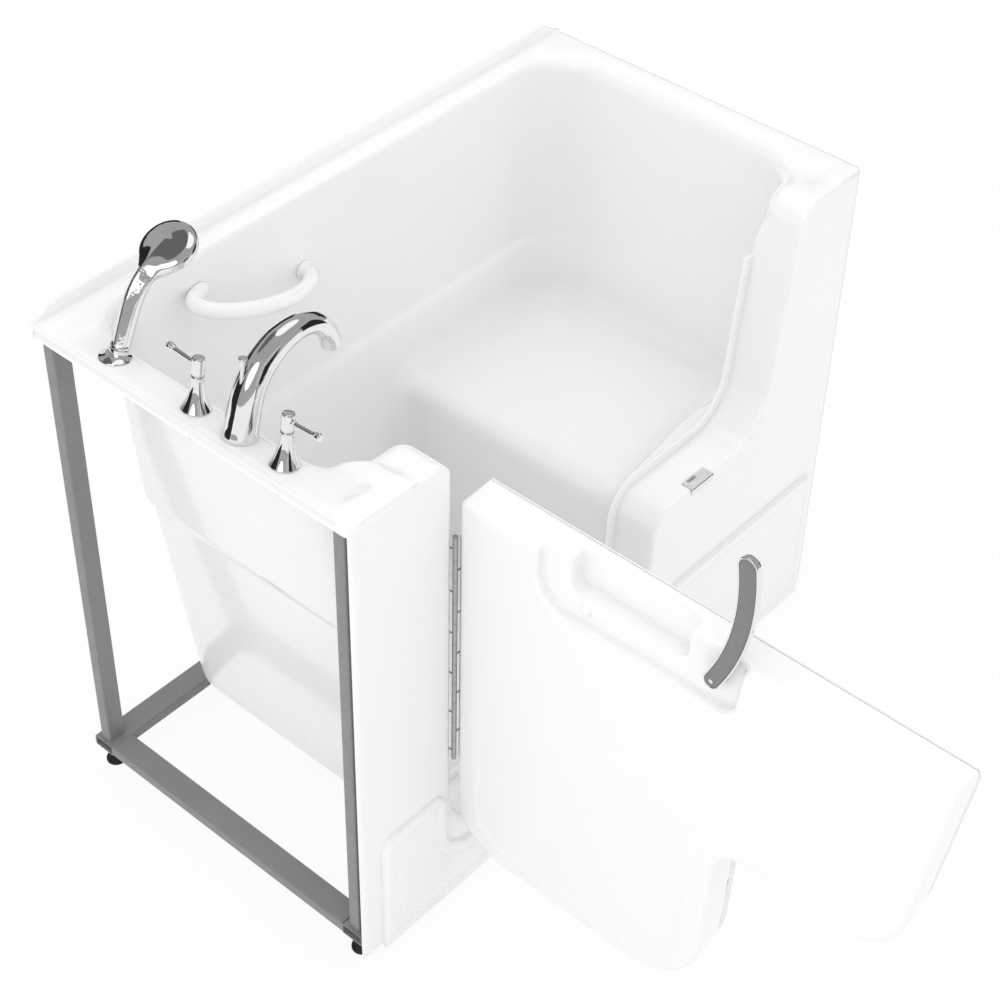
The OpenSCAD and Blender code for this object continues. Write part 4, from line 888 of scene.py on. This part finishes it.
def makeDoor():
    step = 2.6
    mould = Mould((door["x"], 0, door["low"]), (door["x"] + door["w"], door["t"], door["top"]), step)
    points, faces = mould.surface(doorField(mould), 0.01)
    print("door", len(points), len(faces))
    backY = door["t"] - door["liner"] - 0.3

    def keep(c, n):
        return ~((c[:, 1] > backY - 0.6) & (n[:, 1] > 0.8))

    points, faces = trimmed(points, faces, [], keep)
    normals = mould.normals(points)
    points, faces, normals = shell(points, faces, normals, door["wall"])
    obj = makeObject("doorSkin", points, faces, "gelcoat", turnedOpen(normals), place=opened)
    mount(obj, "door", "door_panel", "white_gelcoat")


# Stack of closed outlines at given depths, closed by fans round a point in the sheet's middle
def sheetLoft(rows):
    heart = np.array((door["x"] + door["leg"] / 2, 0, (door["step"] + door["top"]) / 2))
    n = len(rows[0][0])
    points = [np.stack([line[:, 0], np.full(n, y), line[:, 1]], 1) for line, y in rows]
    points = np.vstack([np.concatenate(points), heart + (0, rows[0][1], 0), heart + (0, rows[-1][1], 0)])
    return outward(points, ringFaces(len(rows), n))


def makeLiner():
    d = door["draft"]
    y0, y1 = door["t"] - door["liner"], door["t"]
    rows = [(doorLine(-d, 0), y0), (doorLine(-d, 0), y1 - 2.4), (doorLine(-d - 0.4, -0.4), y1 - 1.2),
            (doorLine(-d - 1.2, -1.2), y1 - 0.4), (doorLine(-d - 2.4, -2.4), y1)]
    points, faces = sheetLoft(rows)
    obj = makeObject("doorLiner", points, faces, "gelcoat", place=opened, sharp=40)
    mount(obj, "door", "door_liner", "white_gelcoat")


makeDoor()
makeLiner()
say("door")


def leverLine(g, n=40):
    t = np.linspace(0, 1, n)
    mid = np.stack([lever["sag"] * 4 * t * (1 - t), lever["l"] * t], 1)
    d = np.stack([lever["sag"] * 4 * (1 - 2 * t), np.full(n, lever["l"])], 1)
    d /= np.linalg.norm(d, axis=1, keepdims=True)
    w = (lever["w"] / 2 * (0.86 + 0.14 * t) - g)[:, None]
    side = np.stack([d[:, 1], -d[:, 0]], 1)
    lean = math.atan2(4 * lever["sag"], lever["l"])

    def cap(c, r, a0):
        a = a0 + np.linspace(0, math.pi, 22)[1:-1]
        return np.stack([c[0] + r * np.cos(a), c[1] + r * np.sin(a)], 1)
    return np.vstack([mid + side * w, cap(mid[-1], lever["w"] * 0.5 - g, lean), (mid - side * w)[::-1],
                      cap(mid[0], lever["w"] * 0.43 - g, math.pi - lean)])


def onLever(points):
    p = np.asarray(points, float)
    x, z = tilted(p[:, 0], p[:, 1], math.radians(lever["tilt"]))
    return opened(np.stack([door["x"] + pivot["s"] + x, lever["y"] - p[:, 2], pivot["z"] + z], 1))


def turnedLever(n):
    x, z = tilted(n[:, 0], n[:, 1], math.radians(lever["tilt"]))
    return turnedOpen(np.stack([x, -n[:, 2], z], 1))


def makeLever():
    step = 0.8
    lowEnd = (-lever["w"], -lever["w"], -lever["t"])
    highEnd = (lever["w"] * 1.3, lever["l"] + lever["w"], 0)
    outer = leverLine(0)
    for name, node, paint, slot in (("leverBody", "latch_handle", "chrome", "chrome"),
                                    ("leverInlay", "latch_grip", "inlay", "lever_grey")):
        mould = Mould(lowEnd, highEnd, step)
        x, y, z = mould.grid
        flat = outlineField(outer, mould.axes[0], mould.axes[1])[:, :, None]
        if name == "leverBody":
            field = both(both(flat, z, single(lever["frontR"])), -lever["t"] - z, single(lever["backR"]))
            groove = both(flat + lever["rim"], -lever["grooveDeep"] - z, single(0.4))
            field = both(field, -groove, single(0.7))
        else:
            rim = flat + lever["inlayRim"]
            dome = lever["crown"] * (1 - np.exp(np.minimum(rim, 0) / 3.0))
            field = both(rim, (z + lever["inlaySunk"] - dome).astype(single), single(0.8))
            field = np.maximum(field, -lever["inlayDeep"] - z)
        points, faces = mould.surface(field.astype(single), 0.01)
        obj = makeObject(name, points, faces, paint, turnedLever(mould.normals(points)), place=onLever)
        print(name, len(points), len(faces))
        mount(obj, "latch_lever", node, slot)


makeLever()
say("lever")


bar = {
    "x": (330.0, 580.0), "z": (983.0, 899.0), "wall": 690.0, "out": 92.0, "r": 15.0, "root": 22.0, "rootR": 9.0,
    "low": ((0, 0), (-0.33, 0.42), (-0.17, 1), (0.27, 1)), "high": ((0.27, 1), (0.58, 1), (1, 0.55), (1, 0)),
}


def curve(c, n):
    t = np.linspace(0, 1, n)[:, None]
    c = np.array(c, float)
    return c[0] * (1 - t) ** 3 + c[1] * 3 * t * (1 - t) ** 2 + c[2] * 3 * t * t * (1 - t) + c[3] * t ** 3


def makeBar():
    b = bar
    length = math.hypot(b["x"][1] - b["x"][0], b["z"][1] - b["z"][0])
    dip = math.atan2(b["z"][0] - b["z"][1], b["x"][1] - b["x"][0])
    line = np.vstack([curve(b["low"], 30), curve(b["high"], 30)[1:]])
    mid = np.stack([line[:, 0] * length, line[:, 1] * b["out"]], 1)
    step = 1.8
    wide = b["root"] + 14
    mould = Mould((-b["r"] * 6, -wide, -3), (length + wide, wide, b["out"] + b["r"]), step)
    x, y, z = mould.grid
    best = np.full((x.shape[0], 1, z.shape[2]), 1e9, single)
    for p, q in zip(mid, mid[1:]):
        d = q - p
        t = np.clip(((x - p[0]) * d[0] + (z - p[1]) * d[1]) / (d @ d), 0, 1)
        best = np.minimum(best, (x - p[0] - t * d[0]) ** 2 + (z - p[1] - t * d[1]) ** 2)
    field = (np.sqrt(best + y * y) - b["r"]).astype(single)
    for at in (0, length):
        root = both((np.hypot(x - at, y) - b["root"] + 3).astype(single), z - 2.0, single(2))
        field = either(field, root, single(b["rootR"]))
    field = np.maximum(field, -z - 0.5)
    points, faces = mould.surface(field.astype(single), 0.01)

    def place(p):
        x, z = tilted(p[:, 0], p[:, 1], dip)
        return row(np.stack([b["x"][0] + x, b["wall"] - p[:, 2], b["z"][0] + z], 1))

    n = mould.normals(points)
    x, z = tilted(n[:, 0], n[:, 1], dip)
    n = np.stack([x, -n[:, 2], z], 1)
    obj = makeObject("grabBar", points, faces, "gelcoat", n, place=place)
    mount(obj, "tub", "grab_bar", "white_gelcoat")


makeBar()
say("grab bar")


# Geometry Nodes tree that puts one unit piece on every point and gives it its paint
def scatterTree():
    tree = bpy.data.node_groups.new("scatter", "GeometryNodeTree")
    names = {}
    for name, kind in (("Points", "Geometry"), ("Unit", "Object"), ("Turn", "Vector"), ("Paint", "Material")):
        socket = tree.interface.new_socket(name, in_out="INPUT", socket_type="NodeSocket" + kind)
        names[name] = socket.identifier
    tree.interface.new_socket("Geometry", in_out="OUTPUT", socket_type="NodeSocketGeometry")
    given = addNode(tree, "NodeGroupInput")
    sockets = {"Object": given.output("Unit")}
    unit = addNode(tree, "GeometryNodeObjectInfo", sockets=sockets, output="Geometry")
    sockets = {"Points": given.output("Points"), "Instance": unit, "Rotation": given.output("Turn")}
    copies = addNode(tree, "GeometryNodeInstanceOnPoints", sockets=sockets)
    real = addNode(tree, "GeometryNodeRealizeInstances", sockets={0: copies})
    sockets = {"Geometry": real, "Material": given.output("Paint")}
    addNode(tree, "NodeGroupOutput", sockets={0: addNode(tree, "GeometryNodeSetMaterial", sockets=sockets)})
    return tree, names


scatterNodes, scatterInputs = scatterTree()


# One plain mesh of copies of a shape (mm, about its own origin) at points of the row frame
def scatter(name, points, turn, shape, paint):
    unit = makeObject(name + "Unit", np.asarray(shape[0]) / 1000.0, shape[1], paint, place=None, sharp=40)
    obj = makeObject(name, points, [], paint, place=None)
    modifier = obj.modifiers.new("scatter", "NODES")
    modifier.node_group = scatterNodes
    for key, value in (("Unit", unit), ("Turn", turn), ("Paint", paints[paint].material)):
        modifier[scatterInputs[key]] = value
    bpy.context.view_layer.update()
    mesh = bpy.data.meshes.new_from_object(obj.evaluated_get(bpy.context.evaluated_depsgraph_get()))
    obj.modifiers.clear()
    old = obj.data
    obj.data = mesh
    mesh.name = name
    bpy.data.meshes.remove(old)
    used = unit.data
    bpy.data.objects.remove(unit)
    bpy.data.meshes.remove(used)
    return obj


shower = {
    "flange": ((0, 0.3), (27.4, 0.3), (28, 1.2), (27.2, 2.6), (21, 5.2), (17.6, 8.2), (16.6, 9), (0, 9)),
    "socket": ((0, 3), (16.4, 3), (17, 4), (17, 15), (16, 16.4), (16, 18.4), (16.9, 19.2), (16.9, 21),
               (16.2, 22), (0, 22)),
    "tilt": 14.0, "out": 5.0,    # of the socket, towards the basin
    "path": ((58, 1072), (61.5, 1079.6), (73, 1106), (86, 1135), (102, 1164), (124, 1187), (150, 1200.5),
             (178, 1213)),
    "wide": ((0, 14.6), (0.2, 15.4), (0.45, 16.6), (0.62, 18.5), (0.8, 24), (1, 30)),
    "deep": ((0, 14.2), (0.25, 15.6), (0.5, 15.8), (0.75, 14), (1, 11)),
    "centre": (178.0, 1212.6), "lean": 24.0, "r": 51.0, "front": 11.5, "rim": 2.0, "back": 13.4,
    "face": 42.0, "faceDeep": 3.4, "jet": 1.7, "crown": 3.2,
    "gripR": 10.0, "bevelR": 2.2, "frontR": 4.5, "backR": 4.0, "crownR": 1.6, "neckR": 16.0,    # edge radii
}


def onSocket(points):
    p = np.asarray(points, float)
    x, z = tilted(p[:, 0], p[:, 2], math.radians(shower["tilt"]))
    return np.stack([shower["out"] + x, p[:, 1], z], 1)


def showerField(mould):
    x, y, z = mould.grid
    y = y - shelf["shower"]
    path = spline(shower["path"], 56)
    share = np.linspace(0, 1, len(path))
    best = np.full((x.shape[0], 1, z.shape[2]), 1e9, single)
    off, at = np.zeros_like(best), np.zeros_like(best)
    for k, (p, q) in enumerate(zip(path, path[1:])):
        d = q - p
        t = np.clip(((x - p[0]) * d[0] + (z - p[1]) * d[1]) / (d @ d), 0, 1)
        gap = (x - p[0] - t * d[0]) ** 2 + (z - p[1] - t * d[1]) ** 2
        near = gap < best
        side = ((z - p[1]) * d[0] - (x - p[0]) * d[1]) / math.sqrt(d @ d)
        best = np.where(near, gap, best)
        off = np.where(near, side, off)
        at = np.where(near, share[k] + t * (share[k + 1] - share[k]), at)
    past = np.sqrt(np.maximum(best - off * off, 0))
    wide, deep = (np.interp(at, *np.array(shower[k]).T).astype(single) for k in ("wide", "deep"))
    grip = both(np.abs(y) - wide, np.abs(off) - deep, single(shower["gripR"]))
    bevel = 0.62 * np.abs(y) + 0.78 * off - 0.86 * deep
    grip = both(grip, bevel.astype(single), single(shower["bevelR"]))
    grip = both(grip, (past - 0.5).astype(single), single(1))
    cx, cz = shower["centre"]
    u, w = tilted(x - cx, z - cz, math.radians(shower["lean"]))
    rho = np.hypot(u, y)
    r = shower["r"]
    head = both(rho - r, -w - shower["front"], single(shower["frontR"]))
    slant = (rho - r) * 0.6 + (w - shower["rim"]) * 0.8
    head = both(head, slant.astype(single), single(shower["backR"]))
    dome = shower["back"] - shower["crown"] * (rho / (0.7 * r)) ** 2
    head = both(head, (w - dome).astype(single), single(shower["crownR"]))
    body = either(head.astype(single), grip.astype(single), single(shower["neckR"]))
    pocket = np.maximum(rho - shower["face"] - 0.5, w + shower["front"] - shower["faceDeep"])
    return both(body, -pocket, single(0.8)).astype(single)


# Own frame of the shower head, +Z out of its back, to the tub's corner frame
def onHead(points):
    p = np.asarray(points, float)
    cx, cz = shower["centre"]
    x, z = tilted(p[:, 0], p[:, 2], -math.radians(shower["lean"]))
    return row(np.stack([cx + x, shelf["shower"] + p[:, 1], cz + z], 1))


def makeShower():
    flange = turned(shower["flange"], 72)
    tube, tubeFaces = turned(shower["socket"], 56)
    points, faces = joined(flange, (onSocket(tube), tubeFaces))
    obj = seat("showerHolder", "tub", (points, faces), shelf["shower"], "chrome", "shower_holder", "chrome")
    obj.data.set_sharp_from_angle(angle=math.radians(35))
    step = 1.3
    mould = Mould((40, shelf["shower"] - 54, 1068), (232, shelf["shower"] + 54, 1240), step)
    points, faces = mould.surface(showerField(mould), 0.006)
    print("shower", len(points), len(faces))
    obj = makeObject("showerHandle", points, faces, "chrome", mould.normals(points))
    mount(obj, "hand_shower", "shower_handle", "chrome")
    r, f = shower["face"], shower["front"]
    profile = softProfile([(0, -f + 2.6), (r, -f + 2.6), (r, -f - 0.6), (r - 3, -f - 1.4), (r - 9, -f - 0.7),
                           (0, -f - 1.1)], [0, 0.4, 0.8, 1.2, 3, 0])
    points, faces = outward(*turned(profile, 72))
    disc = makeObject("showerFace", points, faces, "steel", place=onHead, sharp=40)
    rings = [(ring * r * 0.25, math.pi * 2 * k / (6 * ring)) for ring in (1, 2, 3) for k in range(6 * ring)]
    spots = onHead([(q * math.cos(t), q * math.sin(t), -f - 0.8) for q, t in rings])
    j = shower["jet"]
    jet = turned([(0, -0.4), (j * 1.5, -0.4), (j * 1.3, 0.5), (j * 0.8, 1.3), (j * 0.35, 1.3), (j * 0.25, 0.4),
                  (0, 0.4)], 14)
    turn = (0, math.pi - math.radians(shower["lean"]), 0)
    jets = scatter("showerJets", spots, turn, jet, "rubber")
    for obj in (disc, jets):
        mount(obj, "hand_shower", "shower_face", "stainless")


makeShower()
say("hand shower")


panel = {
    "x0": 50.0, "x1": 1322.0, "low": 8.0, "wing": 300.0, "head": 350.0, "dip": 125.0,
    "hip": 213.0, "knee": 834.0,
    "r": (34, 3, 3, 30, 55, 45, 75, 30), "out": 10.8, "edge": 6.5, "border": 27.0, "second": 9.0, "bead": 2.6,
    "deep": 1.7, "draft": 3.5, "wall": 3.0, "cut": -0.1,
}


def panelLine(steps=10):
    p = panel
    pts = [(p["x0"], p["wing"]), (p["x0"], p["low"]), (p["x1"], p["low"]), (p["x1"], p["head"]),
           (p["knee"], p["head"]), (p["knee"], p["dip"]), (p["hip"], p["dip"]), (p["hip"], p["wing"])]
    return rounded(pts, p["r"], steps)


def makePanel():
    step = 2.0
    p = panel
    mould = Mould((p["x0"], -p["out"], p["low"]), (p["x1"], 8, p["head"]), step)
    x, y, z = mould.grid
    flat = outlineField(panelLine(), mould.axes[0], mould.axes[2])[:, None, :]
    ridge, faint = (np.exp(-((flat + p["border"] + far) / p["bead"]) ** 2) for far in (0, p["second"]))
    ridge = ridge + 0.5 * faint
    side = flat - p["draft"] * y / p["out"]
    field = both(side, (p["deep"] * ridge - p["out"] - y).astype(single), single(p["edge"]))
    points, faces = mould.surface(field.astype(single), 0.006)
    cut = p["cut"]
    points, faces = trimmed(points, faces, [((0, cut, 0), (0, 1, 0))], lambda c, n: c[:, 1] < cut)
    points, faces, normals = shell(points, faces, mould.normals(points), p["wall"])
    obj = makeObject("panelSkin", points, faces, "gelcoat", normals)
    mount(obj, "panel", "access_panel", "white_gelcoat")


makePanel()
say("access panel")


strip = {
    "low": 372.0, "l": 527.0, "count": 11, "r": 4.5, "leaf": 24.0, "neck": 9.0, "t": 1.5, "gap": 0.2,
    "screw": 17.0, "head": 3.2,
}


# Leaf and knuckles about the pin's axis, with the leaf along +Y at -X
def leafShape(first):
    s = strip
    step = s["l"] / s["count"]
    rings = []
    x0, x1, c = -s["r"], -s["r"] + s["t"], 0.4
    y0, y1 = s["neck"], s["leaf"]
    section = [(x0 + c, y1), (x0, y1 - c), (x0, y0), (x1, y0), (x1, y1 - c), (x1 - c, y1)]
    for z in (s["low"] + 0.3, s["low"] + s["l"] - 0.3):
        rings.append([(x, y, z) for x, y in section])
    shapes = [outward(*ribbon(rings))]
    for k in range(first, s["count"], 2):
        z = s["low"] + k * step
        low, high = z + s["gap"], z + step - s["gap"]
        profile = softProfile([(0, low), (s["r"], low), (s["r"], high), (0, high)], [0, 0.7, 0.7, 0])
        shapes.append(outward(*turned(profile, 24)))
        middle = (z + step * 0.47, z + step * 0.53)
        necks = [[(x0, 0, h), (x1, 0, h), (x1, y0 + 1, h), (x0, y0 + 1, h)] for h in middle]
        shapes.append(outward(*ribbon(necks)))
    return joined(*shapes)


def makeHinge():
    s = strip
    base = np.array((hinge["x"], hinge["y"], 0))
    heights = [s["low"] + (k + 0.5) * s["l"] / s["count"] for k in range(s["count"])]
    spots = [(-s["r"] + s["t"], s["screw"], z) for z in heights]
    h = s["head"]
    screw = turned(softProfile([(0, -0.6), (h, -0.6), (h, 0.3), (h * 0.7, 0.8), (h * 0.3, 0.9),
                                (h * 0.22, 0.35), (0, 0.35)], [0, 0, 0.3, 0.2, 0.1, 0.1, 0]), 20)
    for side, body in enumerate(("tub", "door")):
        points, faces = leafShape(side)
        marks = np.array(spots)
        if side:
            points[:, 0] *= -1
            marks[:, 0] *= -1
            faces = [f[::-1] for f in faces]
        place = opened if side else row
        leaf = makeObject("hingeLeaf" + body.title(), points + base, faces, "steel", place=place, sharp=35)
        turn = (math.pi / 2, 0, 0) if side else (0, math.pi / 2, 0)
        heads = scatter("hingeHeads" + body.title(), place(marks + base), turn, screw, "steel")
        mount(leaf, body, "hinge_leaf_" + body, "stainless")
        mount(heads, body, "hinge_screws_" + body, "stainless")


makeHinge()

plate = {
    "x": 896.0, "l": 66.0, "z": 566.0, "in": 26.0, "t": 1.5, "drop": 14.0, "bend": 2.2, "cornerR": 3.0,
    "screws": ((903.0, 9.0), (955.0, 9.0)),
}


def makeStrike():
    q = plate
    step = 0.7
    mould = Mould((q["x"], -q["t"], q["z"] - q["drop"]), (q["x"] + q["l"], q["in"], q["z"] + q["t"]), step)
    x, y, z = mould.grid
    ends = np.abs(x - q["x"] - q["l"] / 2) - q["l"] / 2
    outer = both(both(-q["t"] - y, z - q["z"] - q["t"], single(q["bend"])), y - q["in"], single(1))
    inner = both(-y, z - q["z"], single(0.8))
    field = np.maximum(outer, -inner)
    field = np.maximum(field, q["z"] - q["drop"] - z)
    corner = both(ends, -np.minimum(z - q["z"] + q["drop"], q["in"] - y), single(q["cornerR"]))
    field = np.maximum(field, corner)
    wide, deep, play = bolt["w"] / 2, bolt["t"] / 2, bolt["strikePlay"]
    slot = both(np.abs(x - bolt["x"]) - wide - play, np.abs(y - bolt["y"]) - deep - play, single(1.5))
    field = np.maximum(field, -slot)
    points, faces = mould.surface(field.astype(single), 0.004)
    obj = makeObject("latchStrike", points, faces, "chrome", mould.normals(points))
    mount(obj, "tub", "latch_strike", "chrome")
    head = turned(softProfile([(0, -3), (2.9, -3), (2.9, 0.25), (1.9, 0.6), (0.9, 0.65), (0.7, 0.2), (0, 0.2)],
                              [0, 0, 0.2, 0.3, 0.1, 0.1, 0]), 24)
    spots = row([(x, y, plate["z"] + plate["t"]) for x, y in plate["screws"]])
    screws = scatter("strikeScrews", spots, (0, 0, 0), head, "chrome")
    mount(screws, "tub", "strike_screws", "stainless")


frameParts = ["base_rail_" + end for end in ("front", "wall", "faucet", "seat", "centre")]
frameParts += ["post_" + end for end in ("front_faucet", "wall_faucet", "front_seat", "wall_seat")]
frameParts += ["top_rail_wall"]
tube = {"wall": 0.0025, "edge": 0.0035, "bore": 0.002}    # metres, as the boxes of the CAD nodes


# Hollow square tube with rounded edges, along the longest side of its box
def tubeShape(low, high):
    size = high - low
    axis = int(np.argmax(size))
    others = [i for i in range(3) if i != axis]
    half = size[others] / 2

    def section(inset, corner):
        h = half - inset
        return rounded([(h[0], h[1]), (-h[0], h[1]), (-h[0], -h[1]), (h[0], -h[1])], [corner] * 4, 5)

    outer, inner = section(0, tube["edge"]), section(tube["wall"], tube["bore"])
    n = len(outer)
    middle = (low + high) / 2
    rows = []
    for line, at in ((outer, low[axis]), (outer, high[axis]), (inner, high[axis]), (inner, low[axis])):
        ring = np.zeros((n, 3))
        ring[:, axis] = at
        for k, i in enumerate(others):
            ring[:, i] = middle[i] + line[:, k]
        rows.append(ring)
    points = np.concatenate(rows)
    faces = []
    for k in range(4):
        m = (k + 1) % 4
        for i in range(n):
            j = (i + 1) % n
            faces.append((k * n + i, k * n + j, m * n + j, m * n + i))
    return outward(points, faces)


def makeFrame():
    for name in frameParts:
        low, high = (np.array(v, float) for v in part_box(name))
        points, faces = tubeShape(low, high)
        rail = makeObject(name.title().replace("_", ""), points, faces, "frame", place=None, sharp=60)
        mount(rail, "tub", name, "frame_paint")


foot = {"r": 20.0}


def makeFeet():
    low, high = (np.array(v, float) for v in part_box("foot_pads"))
    h = (high[2] - low[2]) * 1000
    rad = foot["r"]
    xs, ys = (low[0] + rad / 1000, high[0] - rad / 1000), (low[1] + rad / 1000, high[1] - rad / 1000)
    spots = [(x, y, 0) for x in xs for y in ys] + [((low[0] + high[0]) / 2, 0.0, 0)]
    profile = softProfile([(0, 0), (rad, 0), (rad, h * 0.42), (rad * 0.9, h * 0.5), (rad * 0.62, h * 0.8),
                           (rad * 0.56, h), (0, h)],
                          [0, 1.6, 1.6, 3, 2, 0.8, 0])
    shape = outward(*turned(profile, 40))
    obj = scatter("footPads", spots, (0, 0, 0), shape, "rubber")
    mount(obj, "tub", "foot_pads", "black_rubber")


makeStrike()
say("hinge and strike")
makeFrame()
makeFeet()
say("frame and feet")


studio = {
    "sky": 0.99, "floorGlow": 0.93, "floor": 14.0,
    "lamps": [((-3.4, -1.0, 3.2), 2.6, 18.0), ((-1.2, -4.4, 2.4), 3.0, 3.0), ((0.25, 0.1, 3.0), 1.5, 4.0)],
    "cards": [(147, 42, 0.2, 3.2), (262, 22, 0.2, 2.6), (318, 34, 0.2, 3.0), (20, 40, 0.2, 2.4),
              (86, 62, 0.2, 3.0)],
    "cardAt": 4.2, "cardTone": 0.012, "lid": (-0.9, 2.0, 4.6, 1.3), "lidTone": 0.14,
    "roof": (0, 0, 5.2, 5.4), "tent": (180, 360, 0.9, 5.2), "tentTone": 0.42, "tentAt": 5.4,
}


def makeLamp(at, size, power):
    data = bpy.data.lights.new("softbox", "AREA")
    data.shape = "DISK"
    data.size = size
    data.energy = power
    lamp = bpy.data.objects.new("softbox", data)
    aim = Vector((0, 0, 0.7)) - Vector(at)
    lamp.matrix_world = Matrix.Translation(at) @ aim.to_track_quat("-Z", "Y").to_matrix().to_4x4()
    scene.collection.objects.link(lamp)


def cardRing(centre, span, low, high, at):
    turns = np.radians(np.linspace(centre - span / 2, centre + span / 2, 33))
    points = [(at * math.cos(t), at * math.sin(t), z) for t in turns for z in (low, high)]
    return points, [(2 * k, 2 * k + 1, 2 * k + 3, 2 * k + 2) for k in range(len(turns) - 1)]


def lidDisc(x, y, z, r):
    turns = np.linspace(0, 2 * math.pi, 32, endpoint=False)
    points = [(x + r * math.cos(t), y + r * math.sin(t), z) for t in turns]
    return points, [tuple(range(len(points)))]


# Dark card that only polished surfaces see
def makeCard(shape, tone):
    points, faces = shape
    mesh = bpy.data.meshes.new("card")
    mesh.from_pydata(points, [], faces)
    card = bpy.data.objects.new("card", mesh)
    scene.collection.objects.link(card)
    material = bpy.data.materials.new("cardBlack")
    material.use_nodes = True
    shader = material.node_tree.nodes["Principled BSDF"]
    shader.inputs["Base Color"].default_value = (*grey(tone), 1)
    shader.inputs["Roughness"].default_value = 0.9
    mesh.materials.append(material)
    card.visible_camera = card.visible_diffuse = card.visible_shadow = False


# 1 on rays from the camera, off a polished surface or through glass
def lookedAt(tree):
    camera = addNode(tree, "ShaderNodeLightPath", output="Is Camera Ray")
    return camera + camera.output("Is Glossy Ray") + camera.output("Is Transmission Ray")


def makeStudio():
    size = studio["floor"]
    mesh = bpy.data.meshes.new("floor")
    corners = [(-size, -size, 0), (size, -size, 0), (size, size, 0), (-size, size, 0)]
    mesh.from_pydata(corners, [], [(0, 1, 2, 3)])
    floor = bpy.data.objects.new("floor", mesh)
    scene.collection.objects.link(floor)
    material = bpy.data.materials.new("floorWhite")
    material.use_nodes = True
    tree = material.node_tree
    tree.nodes.clear()
    diffuse = addNode(tree, "ShaderNodeBsdfDiffuse", sockets={"Color": (0.9, 0.9, 0.9, 1)})
    glow = addNode(tree, "ShaderNodeEmission", sockets={"Strength": 1.0})
    sockets = {0: lookedAt(tree) * studio["floorGlow"], 1: diffuse, 2: glow}
    mix = addNode(tree, "ShaderNodeMixShader", sockets=sockets)
    addNode(tree, "ShaderNodeOutputMaterial", sockets={0: mix})
    mesh.materials.append(material)

    world = bpy.data.worlds.new("studio")
    scene.world = world
    world.use_nodes = True
    tree = world.node_tree
    sky = tree.nodes["Background"]
    sky.inputs["Color"].default_value = (1, 1, 1, 1)
    plug(tree, lookedAt(tree) * (1 - studio["sky"]) + studio["sky"], sky.inputs["Strength"])
    scene.view_settings.view_transform = "Standard"


makeStudio()
for lamp in studio["lamps"]:
    makeLamp(*lamp)
for card in studio["cards"]:
    makeCard(cardRing(*card, studio["cardAt"]), studio["cardTone"])
makeCard(lidDisc(*studio["lid"]), studio["lidTone"])
makeCard(lidDisc(*studio["roof"]), studio["tentTone"])
makeCard(cardRing(*studio["tent"], studio["tentAt"]), studio["tentTone"])
say("studio")
